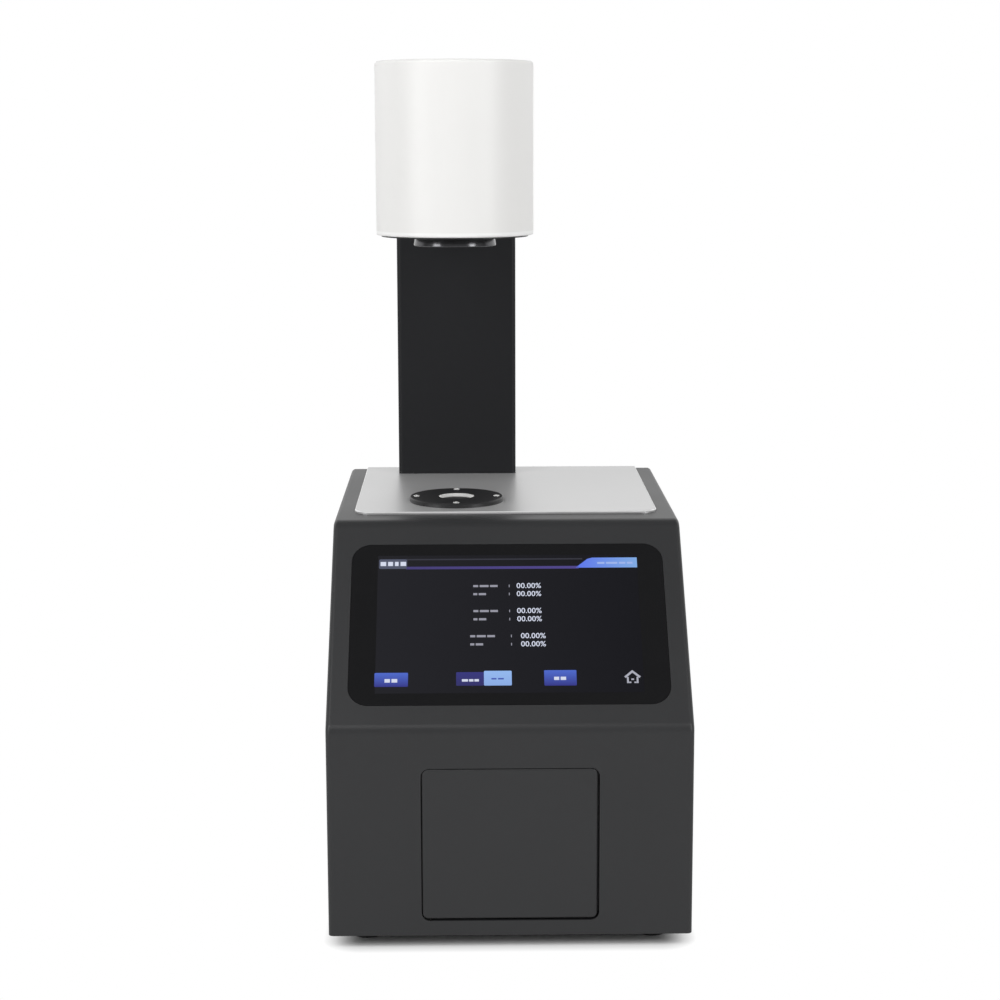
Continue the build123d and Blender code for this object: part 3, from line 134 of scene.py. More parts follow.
class Shader:
    """The node tree of one material or of the world."""

    def __init__(self, owner: bpy.types.ID) -> None:
        """Clears the owner's tree.

        Args:
            owner: A material or a world.
        """
        owner.use_nodes = True
        self.owner = owner
        self.tree = owner.node_tree
        self.tree.nodes.clear()

    @classmethod
    def named(cls, name: str) -> "Shader":
        """Starts an empty material with this name."""
        return cls(bpy.data.materials.new(name))

    def _add(self, kind: str, settings: dict[str, Any], inputs: dict[Any, Any]) -> bpy.types.Node:
        """Adds a node: its settings first, then the values or links of its sockets.

        Args:
            kind: Blender's type of the node.
            settings: Attributes of the node.
            inputs: Values or sockets by the input's name or number.

        Returns:
            The node.
        """
        made = self.tree.nodes.new(kind)
        for key, value in settings.items():
            setattr(made, key, value)
        for key, value in inputs.items():
            if isinstance(value, Socket):
                self.tree.links.new(value.output, made.inputs[key])
            else:
                made.inputs[key].default_value = value
        return made

    def node(self, kind: str, settings: dict[str, Any] | None = None,
             inputs: dict[Any, Any] | None = None, output: Any = 0) -> Socket:
        """Adds a node, as _add does, and gives the output of this name or number."""
        return Socket(self, self._add(kind, settings or {}, inputs or {}).outputs[output])

    def place(self, stretch: Sequence[float] = (1.0, 1.0, 1.0)) -> Socket:
        """Object coordinates in metres, stretched.

        Args:
            stretch: Factor along each axis.

        Returns:
            The stretched coordinates.
        """
        here = self.node("ShaderNodeTexCoord", output="Object")
        return self.node("ShaderNodeVectorMath", {"operation": "MULTIPLY"},
                         {0: here, 1: tuple(stretch)})

    def along(self, axis: str, space: str = "Object") -> Socket:
        """X, Y or Z of the surface: metres, or 0 to 1 where space is Generated."""
        here = self.node("ShaderNodeTexCoord", output=space)
        return self.node("ShaderNodeSeparateXYZ", {}, {0: here}, axis)

    def rays(self, *kinds: str) -> list[Socket]:
        """1 for each kind of ray that meets the surface, otherwise 0."""
        return [self.node("ShaderNodeLightPath", output=f"Is {kind} Ray") for kind in kinds]

    def noise(self, scale: float, detail: float = 3.0,
              stretch: Sequence[float] = (1.0, 1.0, 1.0), rough: float = 0.5) -> Socket:
        """Noise over the surface, from 0 to 1.

        Args:
            scale: Bumps per metre.
            detail: Octaves.
            stretch: Factor along each axis.
            rough: Weight of the finer octaves.

        Returns:
            The noise value.
        """
        return self.node("ShaderNodeTexNoise", {},
                         {"Vector": self.place(stretch), "Scale": scale, "Detail": detail,
                          "Roughness": rough})

    def tint(self, factor: Any, low: Any, high: Any) -> Socket:
        """Mixes two colours.

        Args:
            factor: 0 for low, 1 for high.
            low: First colour, a tuple or a socket.
            high: Second colour, a tuple or a socket.

        Returns:
            The mixed colour.
        """
        ends = {key: value if isinstance(value, Socket) else (*value, 1.0)
                for key, value in zip(MIX_COLOURS, (low, high))}
        return self.node("ShaderNodeMix", {"data_type": "RGBA"}, {0: factor, **ends}, output=MIX_RESULT)

    def bump(self, height: Socket, depth: float) -> Socket:
        """Normal of a height from 0 to 1 with this real depth in metres."""
        return self.node("ShaderNodeBump", {}, {"Height": height, "Distance": depth, "Strength": 1.0})

    def surface(self, **inputs: Any) -> bpy.types.ID:
        """Ends the material in a Principled shader.

        Args:
            inputs: Values or sockets, with _ for a space in the socket's name.

        Returns:
            The material.
        """
        sockets = {key.replace("_", " "): value for key, value in inputs.items()}
        for key in ("Base Color", "Emission Color"):
            if isinstance(sockets.get(key), tuple):
                sockets[key] = (*sockets[key], 1.0)
        return self.close(self.node("ShaderNodeBsdfPrincipled", {}, sockets))

    def close(self, shade: Socket, end: str = "ShaderNodeOutputMaterial") -> bpy.types.ID:
        """Ends the tree in a shader and gives the tree's owner."""
        self._add(end, {}, {"Surface": shade})
        return self.owner


def shift(colour: Colour, factor: float) -> Colour:
    """Makes a colour lighter by a factor over 1, or darker by one under 1."""
    return tuple(min(1.0, part * factor) for part in colour)


@dataclass(frozen=True)
class Finish:
    """What all finishes share: a name, the record's slot and a colour."""

    name: str
    slot: str
    colour: Colour
    roughness: float

    def build(self) -> bpy.types.Material:
        """Builds the material. Each finish has its own."""
        raise NotImplementedError

    def material(self) -> bpy.types.Material:
        """The material of this finish, built once."""
        known = bpy.data.materials.get(self.name)
        return known if known is not None else self.build()

    def mottled(self, shader: Shader, pattern: Socket, spread: float) -> Socket:
        """The colour, which a pattern varies by this share each way."""
        return shader.tint(pattern, shift(self.colour, 1.0 - spread), shift(self.colour, 1.0 + spread))

    def uneven(self, *patterns: tuple[Socket, float]) -> Socket:
        """The finish's roughness, varied by patterns about its own value.

        Args:
            patterns: Patterns from 0 to 1, each with the roughness between its ends.

        Returns:
            The varied roughness.
        """
        least = self.roughness - sum(amount for _, amount in patterns) / 2
        return sum((pattern * amount for pattern, amount in patterns), least)

    def dress(self, *pieces: Any) -> None:
        """Gives pieces this finish.

        Args:
            pieces: Objects, or names of CAD nodes.
        """
        for piece in pieces:
            thing = NODES[piece] if isinstance(piece, str) else piece
            thing.data.materials.clear()
            thing.data.materials.append(self.material())


@dataclass(frozen=True)
class MouldedPlastic(Finish):
    """Textured injection moulding: fine grain, slight cloudiness of tone."""

    grain: float = 2400.0
    depth: float = 0.00002
    cloud: float = 0.06
    gloss: float = 0.5

    def build(self) -> bpy.types.Material:
        """Builds the grain, the tone and the sheen."""
        shader = Shader.named(self.name)
        grain = shader.noise(self.grain, 2.0)
        cloud = shader.noise(14.0, 3.0)
        return shader.surface(Base_Color=self.mottled(shader, cloud, self.cloud),
                              Roughness=self.uneven((cloud, 0.08), (grain, 0.06)),
                              Normal=shader.bump(grain, self.depth), Specular_IOR_Level=self.gloss)


class Brush(Enum):
    """How a metal surface was worked."""

    LENGTHWISE = "lengthwise"
    TURNED = "turned"
    CAST = "cast"


@dataclass(frozen=True)
class WorkedMetal(Finish):
    """Bare or anodised metal with its brush, lathe or cast marks."""

    brush: Brush = Brush.LENGTHWISE
    marks: float = 900.0
    depth: float = 0.000006
    spread: float = 0.05
    metallic: float = 1.0

    def _height(self, shader: Shader) -> Socket:
        """Height of the marks.

        Args:
            shader: The material's nodes.

        Returns:
            Height from 0 to 1.
        """
        if self.brush is Brush.LENGTHWISE:
            return shader.noise(self.marks, 4.0, (0.03, 1.0, 1.0), 0.6)
        if self.brush is Brush.CAST:
            return shader.noise(self.marks, 5.0, rough=0.65)
        across = shader.place((1.0, 1.0, 0.0))
        radius = shader.node("ShaderNodeVectorMath", {"operation": "LENGTH"}, {0: across}, "Value")
        return shader.node("ShaderNodeTexNoise", {"noise_dimensions": "1D"},
                           {"W": radius, "Scale": self.marks * 2.0, "Detail": 3.0})

    def build(self) -> bpy.types.Material:
        """Builds the marks, the tone and the gloss."""
        shader = Shader.named(self.name)
        marks = self._height(shader)
        haze = shader.noise(18.0, 3.0)
        tone = (marks * 0.6 + haze * 0.4).clamped()
        return shader.surface(Base_Color=self.mottled(shader, tone, self.spread),
                              Roughness=self.uneven((marks, 0.10), (haze, 0.06)),
                              Metallic=self.metallic, Normal=shader.bump(marks, self.depth))


@dataclass(frozen=True)
class PortLining(Finish):
    """White lining of the port, with painted shade below its lip for the shadow inside the port's
    throat.
    """

    lip: float = 0.0
    fade: float = 0.0006
    # painted shade: colour of the lining below the lip, for the shadow deep in the port
    painted_throat_shade: Colour = (0.05, 0.05, 0.05)

    def build(self) -> bpy.types.Material:
        """Builds the white lip, the painted shade of the throat and the milled grain."""
        shader = Shader.named(self.name)
        grain = shader.noise(1600.0, 3.0)
        # from the painted shade below the lip up to white, over the fade
        above = shader.along("Z").ramp(self.lip, self.lip + self.fade)
        white = shader.tint(grain, shift(self.colour, 0.97), self.colour)
        return shader.surface(Base_Color=shader.tint(above, self.painted_throat_shade, white), Roughness=self.roughness,
                              Normal=shader.bump(grain, 0.00002))


@dataclass(frozen=True)
class Coating(Finish):
    """Paint, powder coat or enamel with a faint orange peel."""

    peel: float = 700.0
    depth: float = 0.00001
    cloud: float = 0.02
    gloss: float = 0.5
    coat: float = 0.0
    coat_roughness: float = 0.2

    def build(self) -> bpy.types.Material:
        """Builds the peel, the tone and the coat."""
        shader = Shader.named(self.name)
        peel = shader.noise(self.peel, 2.0)
        cloud = shader.noise(9.0, 2.0)
        return shader.surface(Base_Color=self.mottled(shader, cloud, self.cloud),
                              Roughness=self.uneven((cloud, 0.06)), Normal=shader.bump(peel, self.depth),
                              Coat_Weight=self.coat, Coat_Roughness=self.coat_roughness,
                              Specular_IOR_Level=self.gloss)


@dataclass(frozen=True)
class BoardMask(Finish):
    """Circuit board: solder mask with tracks and pads."""

    def build(self) -> bpy.types.Material:
        """Builds the tracks and the pads."""
        shader = Shader.named(self.name)
        cells = shader.node("ShaderNodeTexVoronoi", {"distance": "MANHATTAN", "feature": "F1"},
                            {"Vector": shader.place(), "Scale": 260.0}, "Distance")
        lanes = shader.node("ShaderNodeTexBrick", {},
                            {"Vector": shader.place(), "Scale": 160.0, "Mortar Size": 0.05,
                             "Color1": (0, 0, 0, 1), "Color2": (0, 0, 0, 1),
                             "Mortar": (1, 1, 1, 1)}, "Fac")
        track = (cells > 0.5) * 0.5 + lanes * 0.5
        colour = shader.tint(track.clamped(), self.colour, shift(self.colour, 1.7))
        return shader.surface(Base_Color=colour, Roughness=self.roughness,
                              Normal=shader.bump(track, 0.00003))


@dataclass(frozen=True)
class ClearGlass(Finish):
    """Polished lens glass with a faint coating tint."""

    def build(self) -> bpy.types.Material:
        """Builds the glass with a trace of dust in its gloss."""
        shader = Shader.named(self.name)
        dust = shader.noise(300.0, 3.0)
        return shader.surface(Base_Color=shader.tint(dust, self.colour, shift(self.colour, 0.97)),
                              Roughness=dust * 0.02 + self.roughness, Transmission_Weight=1.0, IOR=1.52)


@dataclass(frozen=True)
class CoverGlass(Finish):
    """Black-backed cover glass."""

    gloss: float = 0.25

    def build(self) -> bpy.types.Material:
        """Builds the gloss with a faint smear."""
        shader = Shader.named(self.name)
        smear = shader.noise(22.0, 4.0, (1.0, 2.0, 2.0), 0.6)
        return shader.surface(Base_Color=self.mottled(shader, smear, 0.1),
                              Roughness=smear * 0.05 + self.roughness,
                              Normal=shader.bump(smear, 0.000004), Specular_IOR_Level=self.gloss)


class Run(Enum):
    """Which way a lit colour runs over its piece."""

    ACROSS = "X"
    UP = "Z"


@dataclass(frozen=True)
class ScreenInk(Finish):
    """Lit colour on the display, with the fine grid of its dots."""

    end_colour: Colour | None = None
    run: Run = Run.ACROSS

    def build(self) -> bpy.types.Material:
        """Builds the light, its run from one colour to the other, and the dots."""
        shader = Shader.named(self.name)
        run = shader.along(self.run.value, "Generated").clamped()
        dots = shader.noise(4000.0, 1.0)
        colour = shader.tint(run, self.colour, self.end_colour or self.colour)
        return shader.surface(Base_Color=(0.006, 0.006, 0.008), Roughness=self.roughness,
                              Emission_Color=shader.tint(dots * 0.12, colour, (0.0, 0.0, 0.0)),
                              Emission_Strength=1.0, Specular_IOR_Level=0.25)


def stand(name: str, data: bpy.types.ID) -> bpy.types.Object:
    """Puts an object with this data into the scene.

    Args:
        name: Name of the object.
        data: Its mesh, curve, lamp or camera.

    Returns:
        The object.
    """
    thing = bpy.data.objects.new(name, data)
    bpy.context.scene.collection.objects.link(thing)
    return thing


def smooth(mesh: bpy.types.Mesh, angle: float) -> None:
    """Smooths a mesh, except at edges sharper than this angle in degrees."""
    mesh.polygons.foreach_set("use_smooth", [True] * len(mesh.polygons))
    mesh.set_sharp_from_angle(angle=math.radians(angle))


def new_piece(name: str, work: bmesh.types.BMesh, smooth_angle: float | None = 35.0) -> bpy.types.Object:
    """Turns a bmesh into a named object in the shared frame.

    Args:
        name: Name of the piece.
        work: The mesh in metres, which is freed.
        smooth_angle: Edges sharper than this, in degrees, stay hard. None leaves all flat.

    Returns:
        The object.
    """
    bmesh.ops.recalc_face_normals(work, faces=work.faces)
    mesh = bpy.data.meshes.new(name)
    work.to_mesh(mesh)
    work.free()
    if smooth_angle is not None:
        smooth(mesh, smooth_angle)
    LOG.info("%s: %d faces", name, len(mesh.polygons))
    return stand(name, mesh)


def carve(piece: bpy.types.Object, cutter: bpy.types.Object, operation: str) -> None:
    """Applies a boolean to a piece, and lets its large flat faces rule the shading.

    Args:
        piece: The piece.
        cutter: The other form, which is removed.
        operation: DIFFERENCE or INTERSECT.
    """
    cut = piece.modifiers.new("cut", "BOOLEAN")
    cut.object = cutter
    cut.operation = operation
    cut.solver = "EXACT"
    cut.use_self = True
    bpy.context.view_layer.update()
    graph = bpy.context.evaluated_depsgraph_get()
    mesh = bpy.data.meshes.new_from_object(piece.evaluated_get(graph))
    piece.modifiers.clear()
    piece.data = mesh
    bpy.data.objects.remove(cutter)
    smooth(mesh, 40.0)
    weighted = piece.modifiers.new("shading", "WEIGHTED_NORMAL")
    weighted.keep_sharp = True
    weighted.weight = 100


def skin(work: bmesh.types.BMesh, rings: Iterable[Iterable[Sequence[float]]]) -> None:
    """Closed form through rings of points, capped at both ends.

    Args:
        work: Mesh that the form is added to.
        rings: Rings in millimetres, with as many points each.
    """
    made = [[work.verts.new([part * MM for part in point]) for point in ring] for ring in rings]
    work.faces.new(made[0])
    work.faces.new(list(reversed(made[-1])))
    for near, far in zip(made, made[1:]):
        for index in range(len(near)):
            after = (index + 1) % len(near)
            work.faces.new((near[index], near[after], far[after], far[index]))


def lathe(work: bmesh.types.BMesh, profile: Sequence[Point], centre: Sequence[float],
          steps: int = 96) -> None:
    """Turns a closed or axis-to-axis profile round an upright axis.

    Args:
        work: Mesh that the form is added to.
        profile: Radius and height pairs in millimetres, in order.
        centre: X, Y and Z of the axis foot in millimetres.
        steps: Steps round the axis.
    """
    rings = []
    for radius, height in profile:
        turns = [2.0 * math.pi * step / steps for step in range(steps if radius > 0.0 else 1)]
        rings.append([work.verts.new(((centre[0] + radius * math.cos(turn)) * MM,
                                      (centre[1] + radius * math.sin(turn)) * MM,
                                      (centre[2] + height) * MM)) for turn in turns])
    pairs = list(zip(rings, rings[1:]))
    if len(rings[0]) > 1 and len(rings[-1]) > 1:
        pairs.append((rings[-1], rings[0]))
    for low, high in pairs:
        for step in range(steps):
            after = (step + 1) % steps
            if len(low) == 1:
                work.faces.new((low[0], high[after], high[step]))
            elif len(high) == 1:
                work.faces.new((low[step], low[after], high[0]))
            else:
                work.faces.new((low[step], low[after], high[after], high[step]))


def rounded(points: Sequence[tuple[float, float, float]], steps: int = 6) -> list[Point]:
    """Rounds the corners of a profile.

    Args:
        points: Radius, height and corner radius of each corner.
        steps: Steps in each rounded corner.

    Returns:
        Radius and height pairs.
    """
    result: list[Point] = []
    count = len(points)
    for index, (x, y, radius) in enumerate(points):
        here = Vector((x, y))
        if radius <= 0.0 or index in (0, count - 1):
            result.append((x, y))
            continue
        before = (Vector(points[index - 1][:2]) - here).normalized()
        after = (Vector(points[index + 1][:2]) - here).normalized()
        half = before.angle(after) / 2.0
        reach = radius / math.tan(half)
        middle = here + (before + after).normalized() * (radius / math.sin(half))
        start = here + before * reach - middle
        end = here + after * reach - middle
        turn = start.angle_signed(end)
        for step in range(steps + 1):
            spin = Matrix.Rotation(-turn * step / steps, 2)
            point = middle + spin @ start
            result.append((point.x, point.y))
    return result


def rounded_outline(width: float, height: float, corner: float, steps: int = 8) -> list[Point]:
    """Outline of a rounded rectangle round the origin.

    Args:
        width: Full width.
        height: Full height.
        corner: Corner radius.
        steps: Steps in each corner.

    Returns:
        Points in order.
    """
    result = []
    for index, (sx, sy) in enumerate(((1, 1), (-1, 1), (-1, -1), (1, -1))):
        middle = (sx * (width / 2 - corner), sy * (height / 2 - corner))
        for step in range(steps + 1):
            angle = math.pi / 2 * (index + step / steps)
            result.append((middle[0] + corner * math.cos(angle),
                           middle[1] + corner * math.sin(angle)))
    return result


def domed_screw(shank: float, head: float, rise: float, length: float) -> list[Point]:
    """Section of a domed screw with a round recess, its head resting on height 0.

    Args:
        shank: Radius of the shank.
        head: Radius of the head.
        rise: Height of the head.
        length: Length of the shank.

    Returns:
        Radius and height pairs.
    """
    return rounded([(0.0, -length, 0.0), (shank, -length, 0.0), (shank, 0.0, 0.0), (head, 0.0, 0.0),
                    (head, 0.72 * rise, 0.25), (0.85 * head, 0.88 * rise, 0.1), (0.39 * head, rise, 0.0),
                    (0.34 * head, 0.64 * rise, 0.0), (0.0, 0.56 * rise, 0.0)], 3)


@dataclass(frozen=True)
class Box:
    """Box of a CAD node in millimetres."""

    low: tuple[float, float, float]
    high: tuple[float, float, float]

    @classmethod
    def of(cls, node: str) -> "Box":
        """Reads a node's box.

        Args:
            node: Name of the node.

        Returns:
            Its box.
        """
        low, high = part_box(node)
        return cls(tuple(low / MM), tuple(high / MM))

    @property
    def middle(self) -> tuple[float, float, float]:
        """Middle of the box."""
        return tuple((a + b) / 2 for a, b in zip(self.low, self.high))

    @property
    def radius(self) -> float:
        """Half of the width along X."""
        return (self.high[0] - self.low[0]) / 2


CASING_PLASTIC = MouldedPlastic("casing_grain", "casing_plastic", (0.0310, 0.0315, 0.0330), 0.38,
                                gloss=0.32)
DOOR_PLASTIC = MouldedPlastic("door_grain", "door_plastic", (0.0320, 0.0325, 0.0340), 0.38,
                              gloss=0.32)
BIN_PLASTIC = MouldedPlastic("bin_grain", "bin_plastic", (0.060, 0.060, 0.064), 0.55)
POWDER_BLACK = Coating("powder_black", "black_sheet", (0.030, 0.030, 0.032), 0.55,
                       peel=1100.0, depth=0.00004)
DECK_STEEL = WorkedMetal("deck_satin", "deck_steel", (0.72, 0.72, 0.72), 0.36,
                         marks=1500.0, metallic=0.6)
# Painted highlight: a brighter copy of the deck steel for the plate's chamfer faces, for the light they
# catch.
DECK_EDGE_PAINTED_HIGHLIGHT = WorkedMetal("deck_edge_painted_highlight", "deck_steel", (0.98, 0.98, 0.98), 0.30,
                        marks=1500.0, metallic=0.4)
FLANGE_BLACK = WorkedMetal("flange_anodised", "black_anodised", (0.013, 0.013, 0.014), 0.42,
                           brush=Brush.CAST, marks=1800.0, metallic=0.0)
COLUMN_PAINT = Coating("column_satin", "column_black", (0.0135, 0.0138, 0.0155), 0.45,
                       peel=1200.0, gloss=0.2)
DIFFUSER = MouldedPlastic("diffuser_white", "white_diffuser", (0.90, 0.90, 0.88), 0.8, cloud=0.01)
# The lining is white in its top 2.6 mm; below that, painted shade stands in for the port's shadowed
# throat.
PORT_WHITE = PortLining("port_lining", "white_diffuser", (0.90, 0.90, 0.88), 0.8,
                        lip=(Box.of("port_flange").high[2] - 2.6) * MM)
SPHERE_ALLOY = WorkedMetal("sphere_milled", "sphere_alloy", (0.80, 0.80, 0.80), 0.38, marks=700.0)
BARE_STEEL = WorkedMetal("steel_bare", "bare_steel", (0.55, 0.55, 0.55), 0.32)
# Painted shade: the hinge pins' bare steel coloured near black, so they stay as dark as the shaded door
# gap they sit in.
PIN_STEEL_PAINTED_SHADE = WorkedMetal("pin_steel_painted_shade", "bare_steel", (0.02, 0.02, 0.02), 0.5)
ZINC = WorkedMetal("zinc_plate", "zinc_steel", (0.50, 0.50, 0.50), 0.4, brush=Brush.CAST, marks=120.0,
                   spread=0.14)
BRIGHT_SCREW = WorkedMetal("screw_bright", "bright_screw", (0.85, 0.85, 0.84), 0.38, brush=Brush.CAST,
                           metallic=0.45)
BLACK_SCREW = Coating("screw_black", "black_screw", (0.030, 0.030, 0.030), 0.4)
NOSE_POLISH = WorkedMetal("nose_polish", "nose_chrome", (0.10, 0.10, 0.105), 0.17, brush=Brush.TURNED,
                          marks=1600.0, depth=0.000002)
COVER_ENAMEL = Coating("cover_enamel", "cover_white", (0.88, 0.875, 0.86), 0.40, coat=0.15,
                       coat_roughness=0.4)
# Painted light: a brighter copy of the cover enamel for the lowest band, for light bounced up from the
# floor.
COVER_RIM_PAINTED_LIGHT = Coating("cover_rim_painted_light", "cover_white", (0.96, 0.96, 0.95), 0.32, coat=0.15,
                    coat_roughness=0.4)
SINK_ALLOY = WorkedMetal("sink_plain", "heat_alloy", (0.60, 0.60, 0.61), 0.4)
LENS = ClearGlass("lens_clear", "lens_glass", (0.90, 0.94, 0.96), 0.0)
GLASS_BLACK = CoverGlass("glass_black", "cover_glass", (0.0092, 0.0092, 0.0100), 0.10)
GLASS_LIT = ScreenInk("glass_lit_area", "lcd_screen", (0.011, 0.011, 0.013), 0.10, (0.003, 0.003, 0.004))
LCD = CoverGlass("lcd_face", "lcd_screen", (0.014, 0.014, 0.016), 0.3)
BOARD = BoardMask("board_mask", "board_green", (0.02, 0.14, 0.06), 0.35)
RUBBER = MouldedPlastic("foot_rubber_matt", "foot_rubber", (0.025, 0.025, 0.025), 0.8, depth=0.00004)
INLET_PLASTIC = MouldedPlastic("inlet_moulded", "inlet_black", (0.025, 0.025, 0.025), 0.5)
ROCKER_GLOSS = MouldedPlastic("rocker_gloss", "rocker_black", (0.020, 0.020, 0.020), 0.2)
MARK_WHITE = MouldedPlastic("mark_white", "cover_white", (0.80, 0.80, 0.80), 0.5, cloud=0.02)


def ink(name: str, colour: Colour, end_colour: Colour | None = None,
        run: Run = Run.ACROSS) -> ScreenInk:
    """A lit colour of the display's picture."""
    return ScreenInk(name, "lcd_screen", colour, 0.4, end_colour, run)


INK_WHITE = ink("ink_white", (0.70, 0.74, 0.88))
INK_WORD = ink("ink_word", (0.32, 0.32, 0.38))
INK_SIGN = ink("ink_sign", (0.42, 0.43, 0.50))
INK_DIM = ink("ink_dim", (0.08, 0.09, 0.14))
INK_LINE = ink("ink_line", (0.028, 0.028, 0.040))
INK_VIOLET = ink("ink_violet", (0.050, 0.038, 0.17), (0.075, 0.055, 0.26))
INK_TAB = ink("ink_tab", (0.10, 0.17, 0.86), (0.22, 0.42, 0.80))
INK_PALE = ink("ink_pale", (0.36, 0.48, 0.86))
INK_BUTTON = ink("ink_button", (0.025, 0.028, 0.24), (0.07, 0.14, 0.62), Run.UP)
INK_DEEP = ink("ink_deep", (0.022, 0.020, 0.13), (0.028, 0.028, 0.20), Run.UP)
INK_LIGHT = ink("ink_light", (0.26, 0.42, 0.80), (0.30, 0.50, 0.90), Run.UP)


@dataclass
class Casing:
    """Moulded casing with its floor and feet."""

    foot_radius: float = 11.0
    foot_inset: float = 1.5
    pocket_radius: float = 2.95
    pocket_depth: float = 4.0
    hole_radius: float = 1.7

    def build(self) -> None:
        """Dresses the casing and builds round feet."""
        CASING_PLASTIC.dress("casing")
        POWDER_BLACK.dress("base_plate")
        BLACK_SCREW.dress("foot_screws")
        feet = self._feet()
        RUBBER.dress(feet)
        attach(feet, "meter")
        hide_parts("feet")
        LOG.info("casing dressed, feet built")

    def _feet(self) -> bpy.types.Object:
        """Round rubber feet with a rounded lower edge and a screw pocket.

        Returns:
            The four feet as one piece.
        """
        box = Box.of("feet")
        height = box.high[2]
        radius = self.foot_radius
        work = bmesh.new()
        profile = rounded([(self.pocket_radius, self.pocket_depth, 0.0), (self.pocket_radius, 0.0, 0.4),
                           (radius - self.foot_inset, 0.0, 1.2), (radius, height, 0.4),
                           (self.hole_radius, height, 0.0), (self.hole_radius, self.pocket_depth, 0.0)])
        for x in (box.low[0] + radius, box.high[0] - radius):
            for y in (box.low[1] + radius, box.high[1] - radius):
                lathe(work, profile, (x, y, 0.0), 48)
        return new_piece("rubber_feet", work)


@dataclass
class Deck:
    """Silver deck plate, sample port and its ring of screws."""

    ring: float = 26.0
    shank: float = 1.2
    head: float = 2.05
    rise: float = 1.25
    screw_depth: float = 6.7
    sunk: float = 0.8
    # Range of the normal's upright part that picks the chamfer faces for the painted highlight.
    bevel: Point = (0.5, 0.9)

    def build(self) -> None:
        """Dresses the plate, with a painted highlight on its chamfer, the flange and the lining, and
        sets the screws.
        """
        plate = NODES["deck_plate"]
        DECK_STEEL.dress("deck_plate")
        # the chamfer faces get the painted highlight
        plate.data.materials.append(DECK_EDGE_PAINTED_HIGHLIGHT.material())
        for polygon in plate.data.polygons:
            if self.bevel[0] < abs(polygon.normal.z) < self.bevel[1]:
                polygon.material_index = 1
        FLANGE_BLACK.dress("port_flange")
        PORT_WHITE.dress("port_ring")
        screws = self._screws()
        BRIGHT_SCREW.dress(screws)
        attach(screws, "meter")
        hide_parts("port_screws")
        LOG.info("deck and port dressed")

    def _screws(self) -> bpy.types.Object:
        """Four domed screws with a round recess.

        Returns:
            The screws as one piece.
        """
        flange = Box.of("port_flange")
        seat = flange.high[2] - self.sunk
        profile = domed_screw(self.shank, self.head, self.rise, self.screw_depth)
        work = bmesh.new()
        for dx, dy in ((1, 0), (-1, 0), (0, 1), (0, -1)):
            spot = (flange.middle[0] + dx * self.ring, flange.middle[1] + dy * self.ring, seat)
            lathe(work, profile, spot, 24)
        return new_piece("port_screws_domed", work)


@dataclass(frozen=True)
class Button:
    """One button of the display: its name, colour and place."""

    name: str
    finish: ScreenInk
    place: Rect


